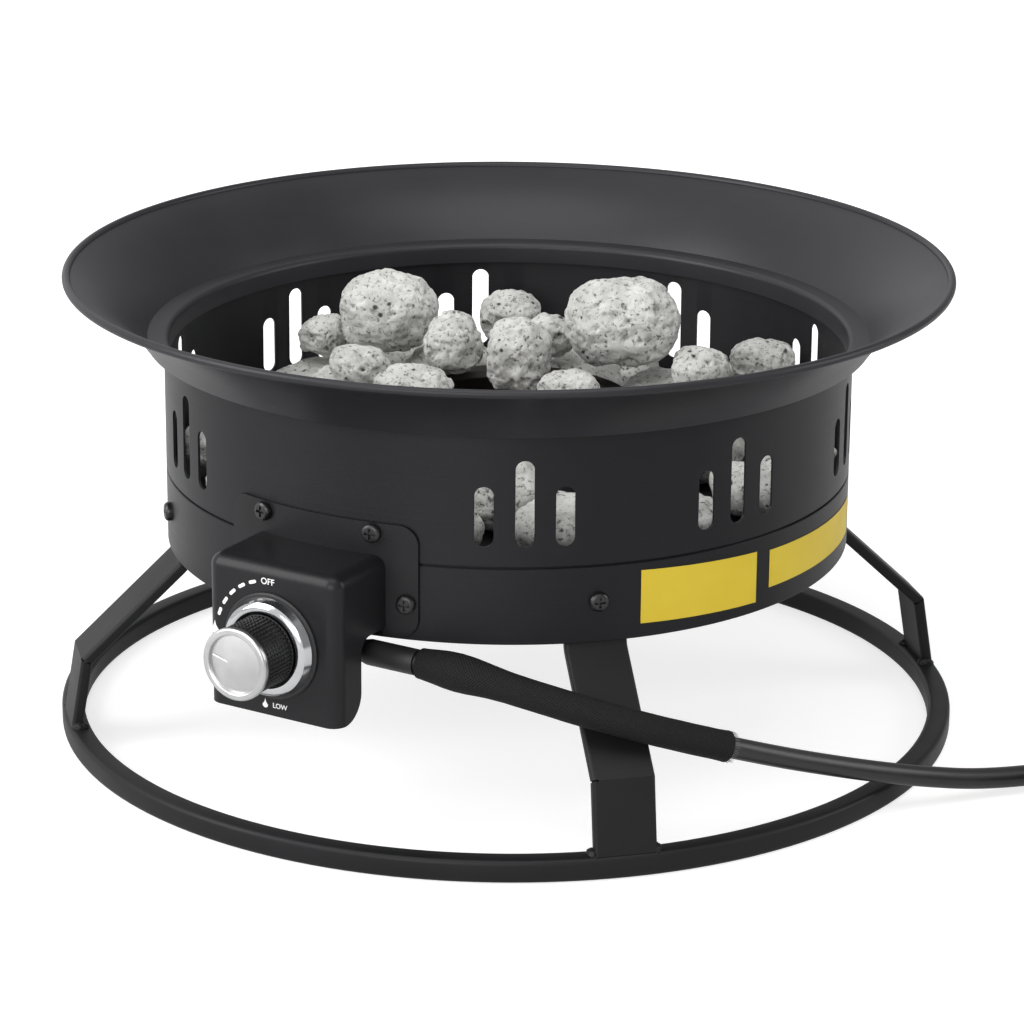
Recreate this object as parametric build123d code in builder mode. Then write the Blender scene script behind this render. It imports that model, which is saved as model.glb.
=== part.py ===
from build123d import *
import math
import os

# Portable propane fire pit, in millimetres, +Z up.
# The origin is the centre of the foot ring, on the ground, and the control box faces -Y.

# Clearances and overruns that several pieces share
slip_gap = 0.3
turn_gap = 0.05
overrun = 3.0

# Foot ring: square bar rolled into a hoop
ring_outer_radius = 241.0
ring_bar = 12.0
ring_corner = 2.5

# Sheet drum: the base pan, with the floor that carries the stones, and the shell above it
body_radius = 182.0
sheet = 1.2
pan_bottom = 102.5
pan_depth = 39.5
floor_drop = 5.0
seam_gap = 1.0
shell_height = 69.0
shell_joggle = 5.0

# Vents: groups of three upright slots round the shell, the middle one taller
vent_pitch = 36.5
vent_groups = 9
vent_rise = 10.5
vent_slot_width = 9.5
vent_middle_height = 44.5
vent_side_height = 31.0
vent_slot_pitch = 20.0
vent_cut_depth = 10.0

# Rim ring: a collar that drops into the shell, a ledge that lies on it, a flare and a rolled edge
rim_sheet = 1.5
rim_collar_depth = 11.0
rim_ledge_overhang = 8.6
rim_ledge_round = 3.0
rim_flare_radius = 89.0
rim_fold_angle = 57.0
rim_edge_angle = 23.0
rim_bead_radius = 2.2
rim_bead_share = 0.7

# Legs: flat bar with a mitred knee, and a tab behind the pan's wall
leg_angles = {"front_right": 45.7, "back_right": 134.3, "back_left": 225.7, "front_left": 314.3}
leg_width = 32.0
leg_thickness = 6.0
leg_edge_round = 1.8
leg_foot_inset = 4.7
leg_knee_inset = 10.8
leg_knee_height = 48.5
leg_shoulder_drop = 3.8
leg_shoulder_bend = 8.0
leg_tab_drop = 9.0
leg_kerf = 0.9
leg_kerf_depth = 3.2
leg_screw_drop = 18.0

# Pan head screws that hold the legs and the control box
screw_head_radius = 5.0
screw_head_height = 3.4
screw_head_round = 2.0
screw_shank_radius = 2.4
screw_hole_radius = 2.6
screw_length = 8.0
screw_cross_width = 1.3
screw_cross_length = 5.6
screw_cross_depth = 1.4

# Control box: a hood of pressed sheet on a curved flange
box_width = 78.0
box_height = 78.5
box_rise = 4.0
box_reach = 40.5
box_wall = 1.8
box_corner = 7.3
box_top_round = 7.0
box_inset = 32.0
box_skirt_depth = 21.0
box_step_rise = 41.0
box_step_round = 8.0
box_skirt_round = 14.0
flange_half_angle = 17.7
flange_foot = 1.5
flange_rise = 20.5
flange_sheet = 1.5
flange_corner = 10.0
flange_top_screw_angle = 10.05
flange_top_screw_drop = 5.2
flange_side_screw_angle = 15.6
flange_side_screw_rise = 18.0

# Gas valve behind the box's face; depths and reaches are measured from that face
knob_rise = 37.0
neck_radius = 8.0
neck_reach = 3.6
valve_flange_radius = 11.5
valve_flange_thickness = 3.4
valve_radius = 12.0
valve_depth = 26.5
plug_radius = 6.0
plug_depth = 10.5
plug_length = 13.0
stem_radius = 3.5
stem_flat = 2.3
stem_reach = 26.5
stem_length = 42.0
socket_depth = 20.5
stem_play = 0.05
valve_nut_across = 21.0
valve_nut_thickness = 2.4
block_half_width = 13.0
block_length = 16.0
block_half_height = 15.5

# Knob, bezel and the black ring under the bezel
bezel_base_radius = 27.5
bezel_base_thickness = 2.0
bezel_base_bore = 22.5
bezel_radius = 25.6
bezel_height = 6.0
bezel_bore = 19.4
bezel_skirt = 2.0
bezel_crown = 1.5
grip_gap = 6.1
grip_length = 23.0
grip_radius = 17.6
grip_lip_radius = 18.1
grip_lip = 1.6
grip_lip_round = 0.6
grip_recess_radius = 13.2
grip_recess_depth = 5.4
cap_radius = 18.6
cap_rim = 2.6
cap_edge = 0.9
cap_thickness = 3.2
cap_dish_depth = 0.9
cap_dome_height = 0.8
pointer_length = 9.5
pointer_reach = 8.5
pointer_width = 1.2
pointer_depth = 0.5
pointer_angle = 165.0

# Gas feed: jet, mixer tube and air shutter, in line under the floor
feed_drop = 25.0
jet_radius = 4.2
jet_tip_radius = 2.4
jet_hex_across = 10.0
jet_hex_length = 6.0
jet_length = 12.0
mixer_outer = 9.5
mixer_wall = 1.2
mixer_overlap = 2.5
mixer_bend = 26.0
mixer_seat = 4.0
mixer_air_slot = 12.0
mixer_air_width = 5.0
mixer_air_setback = 16.0
shutter_wall = 1.0
shutter_length = 18.0
shutter_setback = 10.5
shutter_notch = 6.0
pan_notch_half_width = 29.0
pan_notch_drop = 9.0
pan_notch_depth = 45.0

# Burner: tube hoop with ports, two spokes and a hub that sits on the mixer tube
burner_radius = 62.0
burner_tube = 8.0
burner_wall = 1.2
burner_chamfer = 3.0
burner_rise = 29.0
burner_spoke = 4.8
hub_radius = 13.0
hub_rise = 7.0
hub_drop = 20.0
burner_ports = 18
port_radius = 1.4
post_count = 3
post_radius = 5.0
post_base_radius = 9.0
post_base_thickness = 2.0
post_start_angle = 30.0
post_gap = 0.1

# Stones: porous rocks; places are shares of the bowl's radius, sizes are shares of one stone
stone_size = 46.0
stone_corner_share = 0.755
stone_gap = 0.35
stone_tilt = 9.0
stone_wall_inset = 29.8
stone_ring_pitch = 50.5
stone_ring_counts = (15, 9)
# width and height of the stones of each ring
stone_ring_shares = [(0.86, 0.52), (1.0, 0.78)]
stone_ring_depth_share = 1.06
stone_ring_wave_share = 0.07
# how fast depth, height and tilt vary from stone to stone round a ring
stone_ring_beats = (3, 2, 5)
# across, back, width, depth, height, turn, tilt
heap_shares = [
    (-0.81, 0.22, 0.70, 0.62, 0.58, 15.0, 8.0),
    (0.43, 0.40, 0.68, 0.62, 0.60, 20.0, 6.0),
    (0.45, 0.76, 0.88, 0.70, 0.60, 35.0, -8.0),
    (0.21, -0.01, 0.78, 0.70, 0.56, 30.0, -6.0),
    (-0.18, -0.25, 0.98, 0.78, 0.54, 20.0, 6.0),
    (-0.45, -0.12, 0.80, 0.70, 0.54, 40.0, 8.0),
    (-0.12, 0.45, 0.62, 0.56, 0.60, 15.0, 8.0),
    (-0.42, 0.70, 0.76, 0.70, 0.76, 28.0, 10.0),
    (-0.27, 0.12, 0.74, 0.70, 0.78, 20.0, 8.0),
    (-0.04, 0.13, 0.82, 0.72, 1.00, 12.0, 6.0),
    (0.16, 0.40, 1.40, 1.14, 1.06, 20.0, -8.0),
    (-0.56, 0.21, 1.20, 1.04, 0.98, 12.0, 10.0),
]

# Hose: from the valve's inlet, under a braided sleeve, over the foot ring to the ground
hose_radius = 5.5
bend_share = 0.45
inlet_inset = 6.0
inlet_drop = 8.0
fitting_across = 16.0
fitting_length = 13.0
fitting_chamfer = 0.8
boot_radius = 6.6
boot_length = 36.0
boot_neck_radius = 5.6
boot_neck_length = 8.0
hose_route = [
    (62.0, -186.0, 96.5),
    (88.0, -186.0, 96.5),
    (131.0, -174.5, 86.6),
    (162.0, -154.0, 75.0),
    (182.0, -132.0, 64.4),
    (209.0, -87.5, 45.1),
    (226.0, -52.5, 31.4),
    (240.0, -28.0, 22.6),
    (255.0, -5.5, 15.6),
    (273.0, 18.0, 9.9),
    (295.0, 48.0, 7.0),
    (325.0, 88.0, 7.0),
]
sleeve_radius = 6.8
sleeve_bulge_radius = 9.0
sleeve_bulge_start = 6.0
sleeve_bulge_end = 9.0
sleeve_bulge_taper = 13.5
sleeve_last_run = 4

# Put-away coil of the same hose, two layers, tied once
coil_turn_gap = 0.7
coil_outer_radius = 82.0
coil_half_turns = 6
coil_heading = (0.6, 0.8)
trail_steps = 24
tie_thickness = 1.2
tie_width = 12.0
tie_gap = 1.2
tie_under_gap = 0.3
tie_corner = 4.0
tail_route = [
    (355.0, 128.0, 18.7),
    (375.0, 149.0, 20.8),
    (397.0, 165.0, 23.0),
    (421.0, 178.0, 23.0),
]

# Regulator and cylinder coupling at the hose's far end, lying on the ground
ferrule_radius = 7.4
ferrule_length = 24.0
ferrule_crimp = 0.7
ferrule_crimps = 3
regulator_radius = 30.0
regulator_rim = 3.0
regulator_base = 0.6
regulator_split = 33.0
regulator_dome_radius = 17.0
regulator_dome_height = 14.0
regulator_round = 3.0
regulator_foot_round = 6.0
regulator_boss_radius = 9.0
regulator_boss_length = 9.0
regulator_screw_radius = 2.6
regulator_screw_height = 2.0
regulator_screw_depth = 6.0
regulator_screw_circle = 25.0
regulator_screw_count = 6
regulator_screw_slot = 0.9
regulator_hole_radius = 1.8
nipple_radius = 7.0
nipple_collar_radius = 10.0
nipple_collar = 3.0
nipple_length = 40.0
nipple_nose = 9.0
nipple_nose_taper = 3.0
nut_radius = 22.4
nut_length = 28.0
nut_web = 6.0
nut_bore = 15.5
nut_grips = 12
nut_grip_radius = 2.6


def outward(angle, distance, height):
    """Plane that faces away from the pit's axis; angle 0 is the front and grows to the right."""
    turn = math.radians(angle)
    across = (math.cos(turn), math.sin(turn), 0)
    out = (math.sin(turn), -math.cos(turn), 0)
    return Plane(origin=(out[0] * distance, out[1] * distance, height), x_dir=across, z_dir=out)


def on_knob(*pairs):
    """Profile corners of a piece turned about the knob's axis, from (distance, radius) pairs."""
    return [(-distance, knob_height + radius) for distance, radius in pairs]


def save(piece, name):
    """Name one finished piece and write it."""
    piece.label = name
    export_step(piece, f"parts/{name}.step")


os.makedirs("parts", exist_ok=True)

# Drum, and the heights that follow it
pan_inner = body_radius - sheet
pan_top = pan_bottom + pan_depth
floor_top = pan_top - floor_drop
floor_under = floor_top - sheet
shell_bottom = pan_top + seam_gap
shell_top = shell_bottom + shell_height
vent_bottom = shell_bottom + vent_rise
spigot_outer = pan_inner - slip_gap
spigot_inner = spigot_outer - sheet
leg_screw_height = pan_top - leg_screw_drop
pan_notch_top = floor_top - pan_notch_drop

# Control box, with the valve and the knob behind and before its face
box_top = pan_top + box_rise
box_bottom = box_top - box_height
box_front = body_radius + box_reach
box_start = body_radius - box_inset
box_step_height = box_bottom + box_step_rise
flange_bottom = pan_bottom + flange_foot
flange_top = pan_top + flange_rise
flange_top_screw_height = flange_top - flange_top_screw_drop
flange_side_screw_height = flange_bottom + flange_side_screw_rise
knob_height = box_bottom + knob_rise
knob_axis = Axis((0, 0, knob_height), (0, -1, 0))
valve_rear = box_front - valve_depth
plug_front = box_front - plug_depth
plug_rear = plug_front - plug_length
stem_tip = box_front + stem_reach
stem_root = stem_tip - stem_length
socket_root = box_front - socket_depth
block_rear = valve_rear - block_length
block_bottom = knob_height - block_half_height
block_top = knob_height + block_half_height
grip_rear = box_front + grip_gap
grip_front = grip_rear + grip_length
inlet_back = block_rear + inlet_inset
inlet_height = knob_height - inlet_drop

# Gas feed and burner, from the valve's block to the hub over the floor
feed_height = floor_top - feed_drop
jet_tip = block_rear - jet_length
mixer_mouth = jet_tip + mixer_overlap
shutter_start = mixer_mouth - shutter_setback
burner_height = floor_top + burner_rise
hub_top = burner_height + hub_rise
hub_bottom = burner_height - hub_drop
mixer_top = hub_bottom + mixer_seat

# Foot ring
with BuildPart() as foot_ring:
    with BuildSketch(Plane.XZ):
        with Locations((ring_outer_radius - ring_bar / 2, ring_bar / 2)):
            RectangleRounded(ring_bar, ring_bar, ring_corner)
    revolve(axis=Axis.Z)
save(foot_ring.part, "foot_ring")

# Legs: one bar, slit on one edge and bent at the knee, turned to its four places, left ones mirrored
tab_centre = math.sqrt((pan_inner - slip_gap) ** 2 - (leg_width / 2) ** 2) - leg_thickness / 2
leg_foot = Vector(ring_outer_radius - leg_foot_inset, 0, ring_bar)
leg_knee = Vector(ring_outer_radius - leg_knee_inset, 0, leg_knee_height)
leg_shoulder = Vector(tab_centre, 0, pan_bottom - leg_shoulder_drop)
leg_toe = leg_foot + (leg_foot - leg_knee).normalized() * overrun
leg_tip = Vector(tab_centre, 0, pan_top - leg_tab_drop)
knee_bisector = (leg_foot - leg_knee).normalized() + (leg_shoulder - leg_knee).normalized()
knee_turn = math.degrees(math.atan2(knee_bisector.Z, knee_bisector.X))
with BuildPart() as leg:
    with BuildLine() as leg_path:
        FilletPolyline(leg_toe, leg_knee, leg_shoulder, leg_tip, radius=[0, leg_shoulder_bend])
    with BuildSketch(Plane(leg_path.line @ 0, x_dir=(0, 1, 0), z_dir=leg_path.line % 0)):
        RectangleRounded(leg_width, leg_thickness, leg_edge_round)
    sweep(transition=Transition.RIGHT)
    split(bisect_by=Plane.XY.offset(ring_bar), keep=Keep.TOP)
    with BuildSketch(Plane.XZ.offset(leg_width / 2)):
        with Locations((leg_knee.X, leg_knee.Z)):
            Rectangle(leg_thickness + overrun * 2, leg_kerf, rotation=knee_turn)
    extrude(amount=-leg_kerf_depth, mode=Mode.SUBTRACT)
    with BuildSketch(Plane.YZ.offset(tab_centre)):
        with Locations((0, leg_screw_height)):
            Circle(screw_hole_radius)
    extrude(amount=leg_thickness, both=True, mode=Mode.SUBTRACT)
for place, angle in leg_angles.items():
    bar = leg.part if place.endswith("right") else mirror(leg.part, about=Plane.XZ, mode=Mode.PRIVATE)
    save(bar.rotate(Axis.Z, angle - 90), f"leg_{place}")

# Pan head screw with a cross recess, head seated at the origin and pointing along +Z
with BuildPart() as screw:
    with BuildSketch(Plane.XY):
        Circle(screw_head_radius)
    extrude(amount=screw_head_height)
    fillet(screw.faces().sort_by(Axis.Z)[-1].edges(), screw_head_round)
    with BuildSketch(Plane.XY):
        Circle(screw_shank_radius)
    extrude(amount=-screw_length)
    with BuildSketch(Plane.XY.offset(screw_head_height)):
        Rectangle(screw_cross_length, screw_cross_width)
        Rectangle(screw_cross_width, screw_cross_length)
    extrude(amount=-screw_cross_depth, mode=Mode.SUBTRACT)
leg_screw_planes = [outward(angle, body_radius, leg_screw_height) for angle in leg_angles.values()]
with BuildPart() as leg_screws:
    for plane in leg_screw_planes:
        add(plane.location * screw.part)
save(leg_screws.part, "leg_screws")

# Base pan: drum wall with the floor across it, open below, notched at the front for the gas feed
side_screw_planes = [
    outward(side * flange_side_screw_angle, body_radius, flange_side_screw_height) for side in (-1, 1)
]
with BuildPart() as base_pan:
    with BuildSketch(Plane.XZ):
        with BuildLine():
            Polyline((body_radius, pan_bottom), (body_radius, pan_top), (pan_inner, pan_top),
                     (pan_inner, floor_top), (mixer_outer + slip_gap, floor_top),
                     (mixer_outer + slip_gap, floor_under), (pan_inner, floor_under),
                     (pan_inner, pan_bottom), close=True)
        make_face()
    revolve(axis=Axis.Z)
    with BuildSketch(*leg_screw_planes, *side_screw_planes):
        Circle(screw_hole_radius)
    extrude(amount=sheet * 2, both=True, mode=Mode.SUBTRACT)
    with BuildSketch(Plane.XZ.offset(body_radius + overrun)):
        with Locations((0, pan_bottom)):
            Rectangle(pan_notch_half_width * 2, (pan_notch_top - pan_bottom) * 2)
    extrude(amount=-pan_notch_depth, mode=Mode.SUBTRACT)
save(base_pan.part, "base_pan")

# Upper shell: drum wall whose joggled lower edge drops into the pan and stands on the floor
top_screw_planes = [
    outward(side * flange_top_screw_angle, body_radius, flange_top_screw_height) for side in (-1, 1)
]
vent_angles = [180 + vent_pitch * (step - vent_groups // 2) for step in range(vent_groups)]
with BuildPart() as upper_shell:
    with BuildSketch(Plane.XZ):
        with BuildLine():
            Polyline((body_radius, shell_bottom), (body_radius, shell_top), (pan_inner, shell_top),
                     (pan_inner, shell_bottom + shell_joggle), (spigot_inner, shell_bottom + sheet),
                     (spigot_inner, floor_top), (spigot_outer, floor_top),
                     (spigot_outer, shell_bottom), close=True)
        make_face()
    revolve(axis=Axis.Z)
    with BuildSketch(*[outward(angle, body_radius + overrun, vent_bottom) for angle in vent_angles]):
        with Locations((0, vent_middle_height / 2)):
            SlotOverall(vent_middle_height, vent_slot_width, rotation=90)
        with Locations((-vent_slot_pitch, vent_side_height / 2), (vent_slot_pitch, vent_side_height / 2)):
            SlotOverall(vent_side_height, vent_slot_width, rotation=90)
    extrude(amount=-vent_cut_depth, mode=Mode.SUBTRACT)
    with BuildSketch(*top_screw_planes):
        Circle(screw_hole_radius)
    extrude(amount=sheet * 2, both=True, mode=Mode.SUBTRACT)
save(upper_shell.part, "upper_shell")

# Rim ring: one spun profile, ledge on the shell's edge, trumpet flare and rolled edge
ledge_top = shell_top + rim_sheet
collar_outer = pan_inner - slip_gap
collar_inner = collar_outer - rim_sheet
rim_ledge_outer = body_radius + rim_ledge_overhang
fold_turn = math.radians(rim_fold_angle)
flare_centre = Vector(
    rim_ledge_outer + rim_flare_radius * math.sin(fold_turn),
    ledge_top - rim_flare_radius * math.cos(fold_turn),
)
flare_sweep = rim_fold_angle - rim_edge_angle
edge_turn = math.radians(90 + rim_edge_angle)
bead_reach = rim_flare_radius - rim_sheet / 2
bead_step = Vector(math.sin(edge_turn), -math.cos(edge_turn)) * (rim_bead_radius * rim_bead_share)
bead_centre = flare_centre + Vector(math.cos(edge_turn), math.sin(edge_turn)) * bead_reach + bead_step
with BuildPart() as rim_ring:
    with BuildSketch(Plane.XZ):
        with BuildLine():
            upper = CenterArc(flare_centre, rim_flare_radius, 90 + rim_edge_angle, flare_sweep)
            under = CenterArc(flare_centre, rim_flare_radius - rim_sheet, 90 + rim_edge_angle, flare_sweep)
            Line(upper @ 0, under @ 0)
            under_fold = Vector((under @ 1).X, shell_top)
            Polyline(under @ 1, under_fold, (collar_outer, shell_top),
                     (collar_outer, ledge_top - rim_collar_depth),
                     (collar_inner, ledge_top - rim_collar_depth),
                     (collar_inner, ledge_top - rim_ledge_round))
            RadiusArc((collar_inner, ledge_top - rim_ledge_round),
                      (collar_inner + rim_ledge_round, ledge_top), rim_ledge_round)
            Line((collar_inner + rim_ledge_round, ledge_top), upper @ 1)
        make_face()
        with Locations((bead_centre.X, bead_centre.Y)):
            Circle(rim_bead_radius)
    revolve(axis=Axis.Z)
save(rim_ring.part, "rim_ring")

# Control box flange: a piece of sheet rolled to the drum, with a window behind the hood
flange_outer = body_radius + slip_gap + flange_sheet
flange_width = 2 * body_radius * math.sin(math.radians(flange_half_angle))
with BuildPart() as flange:
    Cylinder(flange_outer, flange_top * 2)
    Cylinder(body_radius + slip_gap, flange_top * 2, mode=Mode.SUBTRACT)
    with BuildSketch(Plane.XZ.offset(box_start)):
        with Locations((0, (flange_bottom + flange_top) / 2)):
            RectangleRounded(flange_width, flange_top - flange_bottom, flange_corner)
        with Locations((0, (flange_bottom + box_top - box_wall) / 2)):
            Rectangle(box_width - box_wall * 2, box_top - box_wall - flange_bottom, mode=Mode.SUBTRACT)
    extrude(amount=box_front - box_start, mode=Mode.INTERSECT)

# Control box: hood with rounded edges, open behind and below, its sides cut back above the hose
box_back_edge = -(box_front - box_skirt_depth)
with BuildPart() as control_box:
    with BuildSketch(Plane.XZ.offset(box_start)):
        with Locations((0, (box_bottom + box_top) / 2)):
            Rectangle(box_width, box_top - box_bottom)
    extrude(amount=box_front - box_start)
    fillet(control_box.edges().filter_by(Axis.Z).group_by(Axis.Y)[0], box_corner)
    top_edges = control_box.faces().sort_by(Axis.Z)[-1].edges().sort_by(Axis.Y)
    fillet(top_edges[:-1], box_top_round)
    open_faces = [control_box.faces().sort_by(Axis.Z)[0], control_box.faces().sort_by(Axis.Y)[-1]]
    offset(amount=-box_wall, openings=open_faces)
    with BuildSketch(Plane.YZ) as side_outline:
        with BuildLine():
            Polyline((-box_front, box_bottom), (box_back_edge, box_bottom),
                     (box_back_edge, box_step_height), (-box_start, box_step_height),
                     (-box_start, box_top), (-box_front, box_top), close=True)
        make_face()
        step_corner = side_outline.vertices().sort_by_distance((box_back_edge, box_step_height))[0]
        fillet(step_corner, box_step_round)
        skirt_corner = side_outline.vertices().sort_by_distance((box_back_edge, box_bottom))[0]
        fillet(skirt_corner, box_skirt_round)
    extrude(amount=box_width, both=True, mode=Mode.INTERSECT)
    Cylinder(body_radius + slip_gap, flange_top * 2, mode=Mode.SUBTRACT)
    add(flange.part)
    with BuildSketch(*top_screw_planes, *side_screw_planes):
        Circle(screw_hole_radius)
    extrude(amount=screw_length, mode=Mode.SUBTRACT)
    with BuildSketch(Plane.XZ.offset(box_front)):
        with Locations((0, knob_height)):
            Circle(neck_radius + slip_gap)
    extrude(amount=-box_wall * 2, mode=Mode.SUBTRACT)
save(control_box.part, "control_box")

with BuildPart() as control_box_screws:
    for plane in (*top_screw_planes, *side_screw_planes):
        add(plane.offset(slip_gap + flange_sheet).location * screw.part)
save(control_box_screws.part, "control_box_screws")

# Gas valve: turned front with a neck through the box's face, and a cast block behind it
face_inner = box_front - box_wall
valve_front = face_inner - valve_flange_thickness
with BuildPart() as gas_valve:
    with BuildSketch(Plane.YZ):
        with BuildLine():
            Polyline(*on_knob((valve_rear, 0), (valve_rear, valve_radius), (valve_front, valve_radius),
                              (valve_front, valve_flange_radius), (face_inner, valve_flange_radius),
                              (face_inner, neck_radius), (box_front + neck_reach, neck_radius),
                              (box_front + neck_reach, 0)), close=True)
        make_face()
    revolve(axis=knob_axis)
    with BuildSketch(Plane.XZ.offset(block_rear)):
        with Locations((0, (block_bottom + block_top) / 2)):
            RectangleRounded(block_half_width * 2, block_top - block_bottom, box_wall)
    extrude(amount=valve_rear - block_rear)
    with BuildSketch(Plane.XZ.offset(plug_rear)):
        with Locations((0, knob_height)):
            Circle(plug_radius + turn_gap)
    extrude(amount=plug_front - plug_rear + turn_gap, mode=Mode.SUBTRACT)
    with BuildSketch(Plane.XZ.offset(plug_front)):
        with Locations((0, knob_height)):
            Circle(stem_radius + turn_gap)
    extrude(amount=box_front, mode=Mode.SUBTRACT)
    with BuildSketch(Plane.XZ.offset(block_rear)):
        with Locations((0, feed_height)):
            Circle(jet_tip_radius)
    extrude(amount=(valve_rear - block_rear) / 2, mode=Mode.SUBTRACT)
save(gas_valve.part, "gas_valve")


def stem_section(play):
    """Round shaft with one flat, as a sketch about the knob's axis."""
    with Locations((0, knob_height)):
        Circle(stem_radius + play)
    with Locations((0, knob_height + stem_flat + play + stem_radius)):
        Rectangle(stem_radius * 2 + overrun, stem_radius * 2, mode=Mode.SUBTRACT)


# Valve plug: the cock that turns in the body; the stem's flat drives it
with BuildPart() as valve_plug:
    with BuildSketch(Plane.XZ.offset(plug_rear + turn_gap)):
        with Locations((0, knob_height)):
            Circle(plug_radius)
    extrude(amount=plug_front - plug_rear - turn_gap)
    with BuildSketch(Plane.XZ.offset(socket_root)):
        stem_section(stem_play)
    extrude(amount=plug_front - socket_root + overrun, mode=Mode.SUBTRACT)
save(valve_plug.part, "valve_plug")

with BuildPart() as valve_stem:
    with BuildSketch(Plane.XZ.offset(stem_root)):
        stem_section(0)
    extrude(amount=stem_tip - stem_root)
save(valve_stem.part, "valve_stem")

with BuildPart() as valve_nut:
    with BuildSketch(Plane.XZ.offset(box_front)):
        with Locations((0, knob_height)):
            RegularPolygon(valve_nut_across / 2, 6, major_radius=False)
            Circle(neck_radius + turn_gap, mode=Mode.SUBTRACT)
    extrude(amount=valve_nut_thickness)
save(valve_nut.part, "valve_nut")

# Bezel: bright pressed ring on a flat black ring
bezel_seat = box_front + bezel_base_thickness
with BuildPart() as bezel_base:
    with BuildSketch(Plane.XZ.offset(box_front)):
        with Locations((0, knob_height)):
            Circle(bezel_base_radius)
            Circle(bezel_base_bore, mode=Mode.SUBTRACT)
    extrude(amount=bezel_base_thickness)
save(bezel_base.part, "bezel_base")

with BuildPart() as knob_bezel:
    with BuildSketch(Plane.YZ):
        with BuildLine():
            Polyline(*on_knob((bezel_seat + bezel_skirt, bezel_radius), (bezel_seat, bezel_radius),
                              (bezel_seat, bezel_bore), (bezel_seat + bezel_height, bezel_bore)))
            outer_end, inner_end = on_knob((bezel_seat + bezel_skirt, bezel_radius),
                                           (bezel_seat + bezel_height, bezel_bore))
            SagittaArc(outer_end, inner_end, bezel_crown)
        make_face()
    revolve(axis=knob_axis)
save(knob_bezel.part, "knob_bezel")

# Knob: grip with lips and a recess behind, and a dished metal face
recess_end = grip_rear + grip_recess_depth
rear_lip = grip_rear + grip_lip
front_lip = grip_front - grip_lip
with BuildPart() as knob_grip:
    with BuildSketch(Plane.YZ):
        with BuildLine():
            Polyline(*on_knob((recess_end, 0), (recess_end, grip_recess_radius),
                              (grip_rear, grip_recess_radius), (grip_rear, grip_lip_radius),
                              (rear_lip, grip_lip_radius), (rear_lip, grip_radius),
                              (front_lip, grip_radius), (front_lip, grip_lip_radius),
                              (grip_front, grip_lip_radius), (grip_front, 0)), close=True)
        make_face()
    revolve(axis=knob_axis)
    fillet(knob_grip.edges().group_by(Axis.Y)[-1].sort_by(SortBy.RADIUS)[-1], grip_lip_round)
    with BuildSketch(Plane.XZ.offset(grip_rear)):
        stem_section(stem_play)
    extrude(amount=stem_tip - grip_rear + slip_gap, mode=Mode.SUBTRACT)
save(knob_grip.part, "knob_grip")

cap_front = grip_front + cap_thickness
with BuildPart() as knob_cap:
    with BuildSketch(Plane.YZ):
        with BuildLine():
            Polyline(*on_knob((cap_front - cap_dish_depth + cap_dome_height, 0), (grip_front, 0),
                              (grip_front, cap_radius), (cap_front - cap_edge, cap_radius),
                              (cap_front, cap_radius - cap_edge), (cap_front, cap_radius - cap_rim),
                              (cap_front - cap_dish_depth, cap_radius - cap_rim - cap_dish_depth)))
            dish_edge, dish_middle = on_knob(
                (cap_front - cap_dish_depth, cap_radius - cap_rim - cap_dish_depth),
                (cap_front - cap_dish_depth + cap_dome_height, 0))
            TangentArc(dish_middle, dish_edge, tangent=(0, 1))
        make_face()
    revolve(axis=knob_axis)
    with BuildSketch(Plane.XZ.offset(cap_front)):
        pointer_turn = math.radians(pointer_angle)
        pointer_out = pointer_reach * math.cos(pointer_turn)
        pointer_up = pointer_reach * math.sin(pointer_turn)
        with Locations((pointer_out, knob_height + pointer_up)):
            SlotOverall(pointer_length, pointer_width, rotation=pointer_angle)
    extrude(amount=-(cap_dish_depth + pointer_depth), mode=Mode.SUBTRACT)
save(knob_cap.part, "knob_cap")

# Gas jet: brass nozzle screwed into the valve's block
with BuildPart() as gas_jet:
    with BuildSketch(Plane.XZ.offset(block_rear - jet_hex_length)):
        with Locations((0, feed_height)):
            RegularPolygon(jet_hex_across / 2, 6, major_radius=False)
    extrude(amount=jet_hex_length)
    with BuildSketch(Plane.XZ.offset(jet_tip)):
        with Locations((0, feed_height)):
            Circle(jet_tip_radius)
    extrude(amount=block_rear - jet_hex_length - jet_tip, taper=-math.degrees(math.atan(
        (jet_radius - jet_tip_radius) / (block_rear - jet_hex_length - jet_tip))))
save(gas_jet.part, "gas_jet")

# Mixer tube: runs under the floor to the middle and turns up through it; air slots behind the mouth
with BuildPart() as mixer_tube:
    with BuildLine() as mixer_path:
        FilletPolyline((0, -mixer_mouth, feed_height), (0, 0, feed_height), (0, 0, mixer_top),
                       radius=mixer_bend)
    with BuildSketch(Plane.XZ.offset(mixer_mouth)):
        with Locations((0, feed_height)):
            Circle(mixer_outer)
            Circle(mixer_outer - mixer_wall, mode=Mode.SUBTRACT)
    sweep()
    with BuildSketch(Plane.YZ):
        with Locations((-(mixer_mouth - mixer_air_setback), feed_height)):
            SlotOverall(mixer_air_slot, mixer_air_width)
    extrude(amount=mixer_outer * 2, both=True, mode=Mode.SUBTRACT)
save(mixer_tube.part, "mixer_tube")

with BuildPart() as air_shutter:
    with BuildSketch(Plane.XZ.offset(shutter_start)):
        with Locations((0, feed_height)):
            Circle(mixer_outer + slip_gap + shutter_wall)
            Circle(mixer_outer + slip_gap, mode=Mode.SUBTRACT)
    extrude(amount=-shutter_length)
    with BuildSketch(Plane.YZ):
        with Locations((-(shutter_start - shutter_notch / 2), feed_height)):
            Rectangle(shutter_notch, mixer_air_width)
    extrude(amount=mixer_outer * 2, both=True, mode=Mode.SUBTRACT)
save(air_shutter.part, "air_shutter")

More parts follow.
